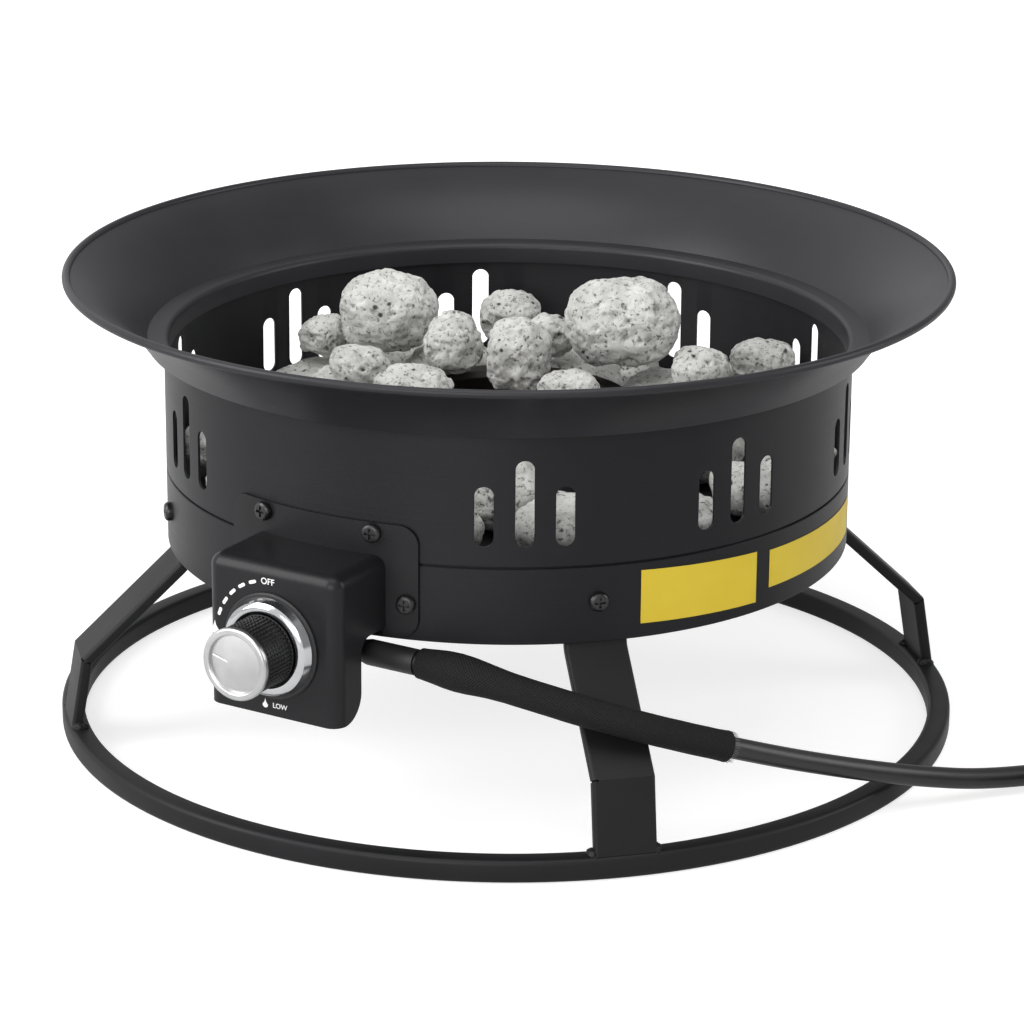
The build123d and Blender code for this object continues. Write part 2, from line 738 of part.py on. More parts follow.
# Burner: hollow hoop with ports on top, spokes and a hub whose socket takes the mixer tube
with BuildPart() as burner_core:
    with BuildSketch(Plane.XZ) as section:
        with Locations((burner_radius, burner_height)):
            Rectangle(burner_tube * 2, burner_tube * 2)
        chamfer(section.vertices(), burner_chamfer)
    revolve(axis=Axis.Z)
with BuildPart() as burner_ring:
    add(burner_core.part)
    with Locations((0, 0, burner_height)):
        Cylinder(burner_spoke, burner_radius * 2, rotation=(0, 90, 0))
    with Locations((0, 0, (hub_bottom + hub_top) / 2)):
        Cylinder(hub_radius, hub_top - hub_bottom)
    with BuildSketch(Plane.XZ) as cavity:
        with Locations((burner_radius, burner_height)):
            Rectangle((burner_tube - burner_wall) * 2, (burner_tube - burner_wall) * 2)
        chamfer(cavity.vertices(), burner_chamfer)
    revolve(axis=Axis.Z, mode=Mode.SUBTRACT)
    with Locations((0, 0, burner_height)):
        Cylinder(burner_spoke - burner_wall, burner_radius * 2, rotation=(0, 90, 0), mode=Mode.SUBTRACT)
    with Locations((0, 0, (hub_bottom + burner_height) / 2)):
        Cylinder(mixer_outer + turn_gap, burner_height - hub_bottom, mode=Mode.SUBTRACT)
    with BuildSketch(Plane.XY.offset(burner_height)):
        with PolarLocations(burner_radius, burner_ports, start_angle=180 / burner_ports):
            Circle(port_radius)
    extrude(amount=burner_tube + overrun, mode=Mode.SUBTRACT)
save(burner_ring.part, "burner_ring")

with BuildPart() as burner_posts:
    with BuildSketch(Plane.XY.offset(floor_top)):
        with PolarLocations(burner_radius, post_count, start_angle=post_start_angle):
            Circle(post_base_radius)
    extrude(amount=post_base_thickness)
    with BuildSketch(Plane.XY.offset(floor_top)):
        with PolarLocations(burner_radius, post_count, start_angle=post_start_angle):
            Circle(post_radius)
    extrude(amount=burner_height - burner_tube - post_gap - floor_top)
save(burner_posts.part, "burner_posts")


# Stones: blocks with their corners taken off, let down one by one until each lies on the pile
def stone(width, depth, height, turn, tilt):
    """One rough stone about the origin."""
    corner = stone_corner_share / math.sqrt(2)
    plan = corner * (width + depth)
    front = corner * (width + height)
    side = corner * (depth + height)
    with BuildPart() as block:
        Box(width, depth, height)
        Box(plan, plan, height, rotation=(0, 0, 45), mode=Mode.INTERSECT)
        Box(front, depth, front, rotation=(0, 45, 0), mode=Mode.INTERSECT)
        Box(width, side, side, rotation=(45, 0, 0), mode=Mode.INTERSECT)
    return Rot(tilt, tilt / 2, turn) * block.part


def let_down(piece, across, back):
    """Lower a stone over its place until it lies one small gap above the floor or the pile."""
    piece = Pos(across, back, 0) * piece
    box = piece.bounding_box()
    near = []
    for other in (burner_core.part, hub_core, spoke_core, *pile):
        wide = other.bounding_box()
        beside = wide.min.X > box.max.X or wide.max.X < box.min.X
        if not (beside or wide.min.Y > box.max.Y or wide.max.Y < box.min.Y):
            near.append(other)
    top = max([floor_top, *[other.bounding_box().max.Z for other in near]])
    piece = Pos(0, 0, top + stone_gap - box.min.Z) * piece
    room = stone_size
    while room > stone_gap / 2:
        spaces = [piece.distance_to(other) for other in near]
        room = min([piece.bounding_box().min.Z - floor_top, *spaces]) - stone_gap
        if room > 0:
            piece = Pos(0, 0, -room) * piece
    return piece


hub_core = Pos(0, 0, burner_height) * Cylinder(hub_radius, (hub_top - burner_height) * 2)
spoke_core = Pos(0, 0, burner_height) * Cylinder(burner_spoke, burner_radius * 2, rotation=(0, 90, 0))
pile = []
for ring, (wide_share, tall_share) in enumerate(stone_ring_shares):
    radius = spigot_inner - stone_wall_inset - stone_ring_pitch * ring
    count = stone_ring_counts[ring]
    for step in range(count):
        turn = math.tau * (step + ring / 2) / count
        deep, tall, lean = [beat * step for beat in stone_ring_beats]
        depth_share = wide_share * (stone_ring_depth_share + stone_ring_wave_share * math.sin(deep))
        height_share = tall_share + stone_ring_wave_share * math.cos(tall)
        rock = stone(stone_size * wide_share, stone_size * depth_share, stone_size * height_share,
                     math.degrees(turn), stone_tilt * math.sin(lean))
        pile.append(let_down(rock, radius * math.cos(turn), radius * math.sin(turn)))
for across, back, width, depth, height, turn, tilt in heap_shares:
    rock = stone(stone_size * width, stone_size * depth, stone_size * height, turn, tilt)
    pile.append(let_down(rock, spigot_inner * across, spigot_inner * back))
lava_rocks = Compound(children=pile)
save(lava_rocks, "lava_rocks")
print("stones", len(pile), "top", round(lava_rocks.bounding_box().max.Z, 1))

# Inlet fitting, and the rubber boot that covers the hose's end
with BuildPart() as inlet_fitting:
    with BuildSketch(Plane.YZ.offset(block_half_width)):
        with Locations((-inlet_back, inlet_height)):
            RegularPolygon(fitting_across / 2, 6, major_radius=False)
    extrude(amount=fitting_length)
    chamfer(inlet_fitting.faces().sort_by(Axis.X)[-1].edges(), fitting_chamfer)
save(inlet_fitting.part, "inlet_fitting")

boot_start = block_half_width + fitting_length
boot_end = boot_start + boot_length
with BuildPart() as hose_boot:
    with BuildSketch(Plane.XZ.offset(inlet_back)):
        with BuildLine():
            Polyline((boot_start, inlet_height), (boot_start, inlet_height + boot_neck_radius),
                     (boot_start + boot_neck_length / 2, inlet_height + boot_neck_radius),
                     (boot_start + boot_neck_length, inlet_height + boot_radius),
                     (boot_end, inlet_height + boot_radius), (boot_end, inlet_height), close=True)
        make_face()
    revolve(axis=Axis((0, -inlet_back, inlet_height), (1, 0, 0)))
save(hose_boot.part, "hose_boot")


# Hose: straight runs joined by arcs as large as the runs allow
def bend_radii(points):
    """One radius for each inner point of a route."""
    corners = [Vector(*point) for point in points]
    radii = []
    for before, here, after in zip(corners, corners[1:], corners[2:]):
        turn = math.radians((here - before).get_angle(after - here))
        radii.append(bend_share * min((here - before).length, (after - here).length) / math.tan(turn / 2))
    return radii


def tube(points, radii, outer, bore=0.0):
    """Round tube along a route."""
    with BuildPart() as swept:
        with BuildLine() as path:
            FilletPolyline(*points, radius=radii)
        with BuildSketch(Plane(path.line @ 0, z_dir=path.line % 0)):
            Circle(outer)
            if bore:
                Circle(bore, mode=Mode.SUBTRACT)
        sweep()
    length = sum(edge.length for edge in path.edges())
    area = math.pi * (outer**2 - bore**2)
    print("tube length", round(length, 1), "volume ratio", round(swept.part.volume / (area * length), 4),
          "radii", [round(radius) for radius in radii])
    return swept.part


hose_radii = bend_radii(hose_route)
save(tube(hose_route, hose_radii, hose_radius), "gas_hose")

# Braided sleeve: swells where it starts at the boot, then follows the hose
start = Vector(*hose_route[0])
first = Vector(*hose_route[1])
along = (first - start).normalized()
last_bend = Vector(*hose_route[sleeve_last_run])
sleeve_end = (last_bend + Vector(*hose_route[sleeve_last_run + 1])) / 2
sleeve_route = [start + along * slip_gap, *hose_route[1:sleeve_last_run + 1], sleeve_end]
sleeve_tube = tube(sleeve_route, hose_radii[:sleeve_last_run], sleeve_radius, hose_radius + slip_gap)
bulge_frame = Plane(start + along * slip_gap, x_dir=along, z_dir=(0, -1, 0))
with BuildPart() as hose_sleeve:
    with BuildSketch(bulge_frame):
        with BuildLine():
            Polyline((0, hose_radius + slip_gap), (0, boot_radius),
                     (sleeve_bulge_start, sleeve_bulge_radius), (sleeve_bulge_end, sleeve_bulge_radius),
                     (sleeve_bulge_taper, sleeve_radius - slip_gap),
                     (sleeve_bulge_taper, hose_radius + slip_gap), close=True)
        make_face()
    revolve(axis=Axis(start, along))
    add(sleeve_tube)
save(hose_sleeve.part, "hose_sleeve")

# Coil: spirals in on the ground, climbs in a half turn and spirals out on top
coil_pitch = hose_radius * 2 + coil_turn_gap
coil_entry = Vector(*hose_route[-1])
ahead = Vector(*coil_heading)
inward = Vector(ahead.Y, -ahead.X)
coil_radii = [coil_outer_radius - coil_pitch / 2 * step for step in range(coil_half_turns + 1)]
coil_radii += coil_radii[1:-1][::-1]
with BuildPart() as hose_coil:
    with BuildLine() as coil_path:
        place = coil_entry + ahead * (hose_radius * 2)
        Line(coil_entry, place)
        side = 1
        centres = []
        for step, radius in enumerate(coil_radii):
            centre = place + inward * (side * radius)
            lift = Vector(0, 0, coil_pitch if step == coil_half_turns else 0)
            middle = centre + lift / 2
            centres.append(middle)
            reach = math.hypot(radius, lift.Z / 2)
            far = place + inward * (side * radius * 2) + lift
            ThreePointArc(place, middle + ahead * (side * reach), far)
            place = far
            side = -side
        coil_exit = place + ahead * (hose_radius * 2)
        Line(place, coil_exit)
    with BuildSketch(Plane(coil_entry, z_dir=ahead)):
        Circle(hose_radius)
    sweep()
save(hose_coil.part, "hose_coil")
coil_edges = coil_path.edges()
coil_length = sum(edge.length for edge in coil_edges)
trail = []
walked = 0.0
for edge in coil_edges:
    for step in range(trail_steps):
        trail.append((walked + edge.length * step / trail_steps, edge @ (step / trail_steps)))
    walked += edge.length
least = min(
    (first[1] - second[1]).length
    for index, first in enumerate(trail)
    for second in trail[index + 1:]
    if second[0] - first[0] > coil_outer_radius
)
print("coil length", round(coil_length, 1), "least gap", round(least - hose_radius * 2, 2), "volume ratio",
      round(hose_coil.part.volume / (math.pi * hose_radius**2 * coil_length), 4))

# Tie round the coil's turns, on the side away from the climb
tie_low = coil_entry.Z - hose_radius - tie_under_gap
tie_high = coil_entry.Z + coil_pitch + hose_radius + tie_gap
tie_inner = coil_radii[coil_half_turns] - hose_radius - tie_gap
tie_outer = coil_outer_radius + hose_radius + tie_gap
tie_wide = tie_outer - tie_inner
tie_tall = tie_high - tie_low
tie_frame = Plane(Vector(centres[0].X, centres[0].Y, 0), x_dir=inward, z_dir=ahead * -1)
with BuildPart() as coil_tie:
    with BuildSketch(tie_frame.offset(-tie_width / 2)):
        with Locations(((tie_inner + tie_outer) / 2, (tie_low + tie_high) / 2)):
            RectangleRounded(tie_wide + tie_thickness * 2, tie_tall + tie_thickness * 2,
                             tie_corner + tie_thickness)
            RectangleRounded(tie_wide, tie_tall, tie_corner, mode=Mode.SUBTRACT)
    extrude(amount=tie_width)
save(coil_tie.part, "coil_tie")

tail_points = [tuple(coil_exit), *tail_route]
save(tube(tail_points, bend_radii(tail_points), hose_radius), "hose_tail")

# Regulator and coupling in line with the hose's end
tail_end = Vector(*tail_route[-1])
tail_along = (tail_end - Vector(*tail_route[-2])).normalized()
end_axis = Axis(tail_end, tail_along)
end_plane = Plane(tail_end, x_dir=tail_along, z_dir=Vector(tail_along.Y, -tail_along.X))


def end_turned(profile):
    """Piece turned about the hose's end, from (distance, radius) corners."""
    with BuildPart() as turned:
        with BuildSketch(end_plane):
            with BuildLine():
                Polyline(*profile, close=True)
            make_face()
        revolve(axis=end_axis)
    return turned.part


crimp_step = ferrule_length / (ferrule_crimps * 2 + 1)
ferrule_profile = [(0, 0), (0, ferrule_radius)]
for step in range(ferrule_crimps):
    near = crimp_step * (2 * step + 1)
    far = near + crimp_step
    ferrule_profile += [(near, ferrule_radius), (near, ferrule_radius - ferrule_crimp),
                        (far, ferrule_radius - ferrule_crimp), (far, ferrule_radius)]
ferrule_profile += [(ferrule_length, ferrule_radius), (ferrule_length, 0)]
save(end_turned(ferrule_profile), "end_ferrule")

regulator_near = ferrule_length + regulator_boss_length
regulator_middle = tail_end + tail_along * (regulator_near + regulator_radius)
regulator_far = regulator_near + regulator_radius * 2 + regulator_boss_length
ground = Vector(regulator_middle.X, regulator_middle.Y, 0)
regulator_plane = Plane(ground, x_dir=tail_along, z_dir=(0, 0, 1))
boss = end_turned([(ferrule_length, 0), (ferrule_length, regulator_boss_radius),
                   (regulator_far, regulator_boss_radius), (regulator_far, 0)])
with BuildPart() as regulator_body:
    with BuildSketch(regulator_plane.offset(regulator_base)):
        Circle(regulator_radius - regulator_rim)
    extrude(amount=regulator_split - regulator_base)
    fillet(regulator_body.faces().sort_by(Axis.Z)[0].edges(), regulator_foot_round)
    with BuildSketch(regulator_plane.offset(regulator_split - regulator_rim)):
        Circle(regulator_radius)
    extrude(amount=regulator_rim)
    add(boss)
    with BuildSketch(regulator_plane.offset(regulator_split)):
        with PolarLocations(regulator_screw_circle, regulator_screw_count):
            Circle(regulator_hole_radius)
    extrude(amount=-regulator_screw_depth, mode=Mode.SUBTRACT)
save(regulator_body.part, "regulator_body")

with BuildPart() as regulator_cap:
    with BuildSketch(regulator_plane.offset(regulator_split)):
        Circle(regulator_radius)
    extrude(amount=regulator_rim)
    with BuildSketch(regulator_plane.offset(regulator_split + regulator_rim)):
        Circle(regulator_dome_radius)
    extrude(amount=regulator_dome_height)
    fillet(regulator_cap.faces().sort_by(Axis.Z)[-1].edges(), regulator_round)
    with BuildSketch(regulator_plane.offset(regulator_split)):
        with PolarLocations(regulator_screw_circle, regulator_screw_count):
            Circle(regulator_hole_radius)
    extrude(amount=regulator_rim, mode=Mode.SUBTRACT)
save(regulator_cap.part, "regulator_cap")

with BuildPart() as regulator_screws:
    with BuildSketch(regulator_plane.offset(regulator_split + regulator_rim)):
        with PolarLocations(regulator_screw_circle, regulator_screw_count):
            Circle(regulator_screw_radius)
    extrude(amount=regulator_screw_height)
    with BuildSketch(regulator_plane.offset(regulator_split + regulator_rim)):
        with PolarLocations(regulator_screw_circle, regulator_screw_count):
            Circle(regulator_hole_radius - slip_gap)
    extrude(amount=-regulator_screw_depth)
    with BuildSketch(regulator_plane.offset(regulator_split + regulator_rim + regulator_screw_height)):
        with PolarLocations(regulator_screw_circle, regulator_screw_count):
            Rectangle(regulator_screw_radius * 2, regulator_screw_slot)
    extrude(amount=-regulator_screw_slot, mode=Mode.SUBTRACT)
save(regulator_screws.part, "regulator_screws")

# Cylinder coupling: a nipple whose collar keeps a ribbed hand nut that turns freely on it
nut_rear = regulator_far + slip_gap
nut_web_end = nut_rear + nut_web
collar_start = nut_web_end + slip_gap
collar_end = collar_start + nipple_collar
nose_start = regulator_far + nipple_length - nipple_nose
nose_end = regulator_far + nipple_length
save(end_turned([(regulator_far, 0), (regulator_far, nipple_radius), (collar_start, nipple_radius),
                 (collar_start, nipple_collar_radius), (collar_end, nipple_collar_radius),
                 (collar_end, nipple_radius), (nose_start, nipple_radius),
                 (nose_end, nipple_radius - nipple_nose_taper), (nose_end, 0)]), "inlet_nipple")

nut_core = end_turned([(nut_rear, nipple_radius + turn_gap), (nut_rear, nut_radius),
                       (nut_rear + nut_length, nut_radius), (nut_rear + nut_length, nut_bore),
                       (nut_web_end, nut_bore), (nut_web_end, nipple_radius + turn_gap)])
nut_face = Plane(tail_end + tail_along * nut_rear, x_dir=(0, 0, 1), z_dir=tail_along)
with BuildPart() as coupling_nut:
    add(nut_core)
    with BuildSketch(nut_face):
        with PolarLocations(nut_radius + nut_grip_radius / 2, nut_grips):
            Circle(nut_grip_radius)
    extrude(amount=nut_length, mode=Mode.SUBTRACT)
save(coupling_nut.part, "coupling_nut")
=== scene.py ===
import bpy
import math
from mathutils import Matrix, Vector, noise


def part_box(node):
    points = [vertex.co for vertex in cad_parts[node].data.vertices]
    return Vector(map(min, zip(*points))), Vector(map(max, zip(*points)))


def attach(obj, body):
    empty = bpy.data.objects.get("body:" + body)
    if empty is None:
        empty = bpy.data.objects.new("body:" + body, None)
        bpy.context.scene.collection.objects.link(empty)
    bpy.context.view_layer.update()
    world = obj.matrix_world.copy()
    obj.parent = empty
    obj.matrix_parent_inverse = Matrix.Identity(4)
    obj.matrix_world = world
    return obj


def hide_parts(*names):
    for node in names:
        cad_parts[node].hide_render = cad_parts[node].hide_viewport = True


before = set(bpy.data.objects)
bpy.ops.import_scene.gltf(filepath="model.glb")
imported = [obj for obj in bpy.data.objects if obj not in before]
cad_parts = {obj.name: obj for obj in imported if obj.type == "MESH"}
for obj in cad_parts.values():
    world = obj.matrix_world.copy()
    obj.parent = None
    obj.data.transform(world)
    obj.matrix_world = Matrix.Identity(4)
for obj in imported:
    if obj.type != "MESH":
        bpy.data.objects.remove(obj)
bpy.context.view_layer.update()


# Foot ring: 12 mm square mild steel bar, rolled into a hoop, butt welded and powder coated black.
# The coating rounds the bar's corners and leaves a fine orange peel.
def linear(code):
    """Linear RGBA of an sRGB hex colour."""
    parts = [int(code[place:place + 2], 16) / 255 for place in (1, 3, 5)]
    return [part / 12.92 if part < 0.04045 else ((part + 0.055) / 1.055) ** 2.4 for part in parts] + [1.0]


def add_node(tree, kind, settings=None, inputs=None):
    """A shader node with its settings; an input is a value or the socket that feeds it."""
    node = tree.nodes.new(kind)
    for name, value in (settings or {}).items():
        setattr(node, name, value)
    for name, value in (inputs or {}).items():
        if isinstance(value, bpy.types.NodeSocket):
            tree.links.new(value, node.inputs[name])
        else:
            node.inputs[name].default_value = value
    return node


def new_material(name, **sockets):
    """A material with its shader's constant sockets set, its node tree and its shader."""
    material = bpy.data.materials.new(name)
    material.use_nodes = True
    shader = material.node_tree.nodes["Principled BSDF"]
    for socket, value in sockets.items():
        shader.inputs[socket.replace("_", " ")].default_value = value
    return material, material.node_tree, shader


def grit(size):
    """Noise scale for a grain of this size in metres."""
    return 1 / size


def coated_steel(name, colours, peel, streak, gloss, rough_range, spread=0.0):
    """Satin powder coat on steel: orange peel, uneven sheen and, on drawn sheet, level streaks."""
    cloud_size = 0.06
    streak_size = 0.05
    streak_stretch = 40.0
    peel_depth = 0.0002
    sheen_low, sheen_high = 0.3, 0.8
    material, tree, shader = new_material(
        name, IOR=1.5, Specular_IOR_Level=gloss, Anisotropic=spread, Anisotropic_Rotation=0.25)
    place = add_node(tree, "ShaderNodeTexCoord").outputs["Object"]
    cloud = add_node(tree, "ShaderNodeTexNoise", inputs={
        "Vector": place, "Scale": grit(cloud_size), "Detail": 4.0})
    grain = add_node(tree, "ShaderNodeTexNoise", inputs={
        "Vector": place, "Scale": grit(peel), "Detail": 2.0})
    level = add_node(tree, "ShaderNodeMapping", inputs={
        "Vector": place, "Scale": (1.0, 1.0, streak_stretch)})
    drawn = add_node(tree, "ShaderNodeTexNoise", inputs={
        "Vector": level.outputs["Vector"], "Scale": grit(streak_size), "Detail": 6.0})
    sheen = add_node(tree, "ShaderNodeMath", {"operation": "MULTIPLY_ADD"}, {
        0: drawn.outputs["Fac"], 1: streak, 2: cloud.outputs["Fac"]})
    rough = add_node(tree, "ShaderNodeMapRange", inputs={
        "Value": sheen.outputs["Value"], "From Min": sheen_low, "From Max": sheen_high + streak,
        "To Min": rough_range[0], "To Max": rough_range[1]})
    tint = add_node(tree, "ShaderNodeValToRGB", inputs={"Fac": sheen.outputs["Value"]})
    tint.color_ramp.elements[0].color = linear(colours[0])
    tint.color_ramp.elements[1].color = linear(colours[1])
    height = add_node(tree, "ShaderNodeMath", {"operation": "MULTIPLY_ADD"}, {
        0: drawn.outputs["Fac"], 1: streak, 2: grain.outputs["Fac"]})
    bump = add_node(tree, "ShaderNodeBump", inputs={
        "Height": height.outputs["Value"], "Strength": 0.25, "Distance": peel_depth})
    tree.links.new(tint.outputs["Color"], shader.inputs["Base Color"])
    tree.links.new(rough.outputs["Result"], shader.inputs["Roughness"])
    tree.links.new(bump.outputs["Normal"], shader.inputs["Normal"])
    return material


def add_piece(operator, **sizes):
    """A new primitive or text, made with nothing else selected."""
    bpy.ops.object.select_all(action="DESELECT")
    operator(**sizes)
    return bpy.context.active_object


def spun(name, outline, steps, centre=(0, 0, 0), axis=(0, 0, 1), smooth=40):
    """Closed outline of points turned all the way round an axis, as on a lathe or a spinning chuck."""
    piece = add_piece(bpy.ops.mesh.primitive_circle_add, vertices=len(outline), fill_type="NOTHING")
    piece.name = name
    for vertex, point in zip(piece.data.vertices, outline):
        vertex.co = point
    bpy.ops.object.mode_set(mode="EDIT")
    bpy.ops.mesh.select_all(action="SELECT")
    bpy.ops.mesh.spin(steps=steps, angle=math.tau, center=centre, axis=axis)
    bpy.ops.mesh.select_all(action="SELECT")
    bpy.ops.mesh.remove_doubles(threshold=0.000001)
    bpy.ops.mesh.normals_make_consistent(inside=False)
    bpy.ops.object.mode_set(mode="OBJECT")
    bpy.ops.object.shade_smooth_by_angle(angle=math.radians(smooth))
    return piece


def arc(across, up, radius, start, end, steps):
    """Points of an arc in the outline's own plane, by angle in degrees."""
    turns = [math.radians(start + (end - start) * step / steps) for step in range(steps + 1)]
    return [(across + radius * math.cos(turn), up + radius * math.sin(turn)) for turn in turns]


def upright(pairs):
    """Outline of (radius, height) pairs as points in the plane that is turned about the pit's axis."""
    return [(radius, 0, height) for radius, height in pairs]


def settle(piece, material, body, slot, *nodes):
    """Give a finished piece its material, its body and the solids that it stands for; the slot is not used.
    """
    piece.data.materials.clear()
    piece.data.materials.append(material)
    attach(piece, body)
    if nodes:
        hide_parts(*nodes)
    return piece


# Soft black with a wide, dull gleam along the rounded corners; the peel is drawn coarse enough to show.
bar_coat = coated_steel("Powder_coat_bar", ("#131314", "#1e1e20"), peel=0.0011, streak=0.0, gloss=0.2,
                        rough_range=(0.4, 0.55))
ring_low, ring_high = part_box("foot_ring")
ring_outer = ring_high.x
bar_size = ring_high.z - ring_low.z
bar_corner = 0.0025
corner_steps = 4
hoop_steps = 180
ring_outline = []
corners = [
    (ring_outer - bar_corner, bar_size - bar_corner, 0),
    (ring_outer - bar_size + bar_corner, bar_size - bar_corner, 90),
    (ring_outer - bar_size + bar_corner, bar_corner, 180),
    (ring_outer - bar_corner, bar_corner, 270),
]
for across, up, start in corners:
    ring_outline += arc(across, up, bar_corner, start, start + 90, corner_steps)
foot_ring = spun("foot_ring_hoop", upright(ring_outline), hoop_steps)
settle(foot_ring, bar_coat, "pit", "black_steel", "foot_ring")


# Legs: 32 by 6 mm flat bar, slit and bent at the knee, with the slit welded shut.
# Each is welded to the hoop and screwed to the pan; the hoop's coating covers bar and welds.
def pick(*pieces):
    """Select these pieces and nothing else, with the first one active."""
    bpy.ops.object.select_all(action="DESELECT")
    for piece in pieces:
        piece.select_set(True)
    bpy.context.view_layer.objects.active = pieces[0]


def joined(pieces, name):
    """One piece made of several."""
    pick(*pieces)
    bpy.ops.object.join()
    pieces[0].name = name
    return pieces[0]


def smooth_copy(node, name, angle=35):
    """Copy of a solid's mesh with its facets joined, so that its round faces shade as round."""
    piece = bpy.data.objects.new(name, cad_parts[node].data.copy())
    bpy.context.scene.collection.objects.link(piece)
    pick(piece)
    bpy.ops.mesh.customdata_custom_splitnormals_clear()
    bpy.ops.object.mode_set(mode="EDIT")
    bpy.ops.mesh.select_all(action="SELECT")
    bpy.ops.mesh.remove_doubles(threshold=0.000002)
    bpy.ops.object.mode_set(mode="OBJECT")
    bpy.ops.object.shade_smooth_by_angle(angle=math.radians(angle))
    return piece


def dress(node, name, material, body, slot, angle=35):
    """Smooth copy of one solid, finished and standing for it."""
    return settle(smooth_copy(node, name, angle), material, body, slot, node)


leg_angle = 45.7
leg_angles = {"front_right": leg_angle, "back_right": 180 - leg_angle,
              "back_left": 180 + leg_angle, "front_left": 360 - leg_angle}
for corner in leg_angles:
    dress(f"leg_{corner}", f"leg_{corner}_bar", bar_coat, "pit", "black_steel")
leg_half_width = 0.016
foot_bead = Vector((0.0034, 0.0052, 0.0034))
foot_overhang = 0.0003
foot_inset = 0.0062
foot_lift = 0.0002
knee_bead = Vector((0.0023, 0.0021, 0.0013))
slit_half = 0.0022
knee_inset = 0.0108
knee_height = 0.0485
ripple_mean = 0.88
ripple_share = 0.14
ripple_rate = 2.3
ripple_seed = 60
beads = []
for corner, angle in leg_angles.items():
    slit_side = -1 if corner.endswith("right") else 1
    spots = (
        (-leg_half_width - foot_overhang, foot_inset, bar_size + foot_lift, foot_bead),
        (leg_half_width + foot_overhang, foot_inset, bar_size + foot_lift, foot_bead),
        (slit_side * (leg_half_width - slit_half), knee_inset, knee_height, knee_bead),
    )
    for across, inset, height, reach in spots:
        bead = add_piece(bpy.ops.mesh.primitive_ico_sphere_add, subdivisions=4, radius=1)
        seed = Vector((angle, across * ripple_seed, 0))
        for vertex in bead.data.vertices:
            ripple = ripple_mean + ripple_share * noise.noise(vertex.co * ripple_rate + seed)
            vertex.co = Vector([size * part for size, part in zip(reach, vertex.co)]) * ripple
        bead.data.transform(Matrix.Rotation(math.radians(angle), 4, "Z")
                            @ Matrix.Translation((across, inset - ring_outer, height)))
        beads.append(bead)
leg_welds = joined(beads, "leg_weld_beads")
bpy.ops.object.shade_smooth()
settle(leg_welds, bar_coat, "pit", "black_steel")

# Leg screws: pan head machine screws with a cross recess, black oxide finish.
# One holds each leg's tab behind the pan's wall.
# The oiled oxide gives a deep black with a tighter highlight than the coat has.
black_oxide = coated_steel("Black_oxide_screw", ("#101011", "#1e1e20"), peel=0.0006, streak=0.0, gloss=0.5,
                           rough_range=(0.25, 0.36))
dress("leg_screws", "leg_screw_heads", black_oxide, "pit", "black_screw")

# Base pan: 1.2 mm steel drawn to a shallow drum with a flat floor across it, open below.
# The floor carries the stones and the burner, and a notch in front leaves room for the gas feed.
# The coat is satin black, with faint level draw lines that spread its highlights.
sheet_coat = coated_steel("Powder_coat_sheet", ("#111113", "#1c1c1f"), peel=0.0009, streak=0.55, gloss=0.2,
                          rough_range=(0.36, 0.5), spread=0.6)
pan_low, pan_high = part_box("base_pan")
drum_radius = pan_high.x
sheet = 0.0012
floor_top = 0.137
floor_hole = 0.0098
edge = 0.0004
drum_steps = 224
pan_outline = [
    (drum_radius - edge, pan_low.z), (drum_radius, pan_low.z + edge), (drum_radius, pan_high.z - edge),
    (drum_radius - edge, pan_high.z), (drum_radius - sheet, pan_high.z), (drum_radius - sheet, floor_top),
    (floor_hole, floor_top), (floor_hole, floor_top - sheet), (drum_radius - sheet, floor_top - sheet),
    (drum_radius - sheet, pan_low.z),
]
base_pan = spun("base_pan_drum", upright(pan_outline), drum_steps)


def shape_by(piece, kind, **settings):
    """Add a modifier with its settings to a piece and apply it."""
    change = piece.modifiers.new(kind.lower(), kind)
    for name, value in settings.items():
        setattr(change, name, value)
    pick(piece)
    bpy.ops.object.modifier_apply(modifier=change.name)


def cut_away(piece, cutter):
    """Take the cutter's shape out of a piece and delete the cutter."""
    shape_by(piece, "BOOLEAN", operation="DIFFERENCE", solver="EXACT", object=cutter)
    bpy.data.objects.remove(cutter)
    bpy.ops.object.shade_smooth_by_angle(angle=math.radians(40))


notch_half = 0.029
notch_top = 0.128
notch_reach = 0.05
notch = add_piece(bpy.ops.mesh.primitive_cube_add, size=1, location=(0, -drum_radius, pan_low.z),
                  scale=(notch_half * 2, notch_reach, (notch_top - pan_low.z) * 2))
cut_away(base_pan, notch)
settle(base_pan, sheet_coat, "pit", "black_steel", "base_pan")

# Upper shell: 1.2 mm rolled steel wall with punched vents, joggled at the bottom to drop into the pan.
# It has the pan's coat, which shows the level streaks of the rolled sheet.
shell_low, shell_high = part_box("upper_shell")
seam_gap = 0.001
fit_gap = 0.0003
joggle = 0.005
seam_top = pan_high.z + seam_gap
spigot = drum_radius - sheet - fit_gap
shell_outline = [
    (drum_radius - edge, seam_top), (drum_radius, seam_top + edge), (drum_radius, shell_high.z),
    (drum_radius - sheet, shell_high.z), (drum_radius - sheet, seam_top + joggle),
    (spigot - sheet, seam_top + sheet), (spigot - sheet, shell_low.z), (spigot, shell_low.z),
    (spigot, seam_top),
]
upper_shell = spun("upper_shell_wall", upright(shell_outline), drum_steps)
vent_pitch = 36.5
vent_groups = 9
vent_bottom = 0.1535
vent_width = 0.0095
vent_step = 0.02
vent_punch = 0.03
vent_heights = {-1: 0.031, 0: 0.0445, 1: 0.031}
vent_round = vent_bottom + vent_width / 2
same_level = 0.00001
vents = []
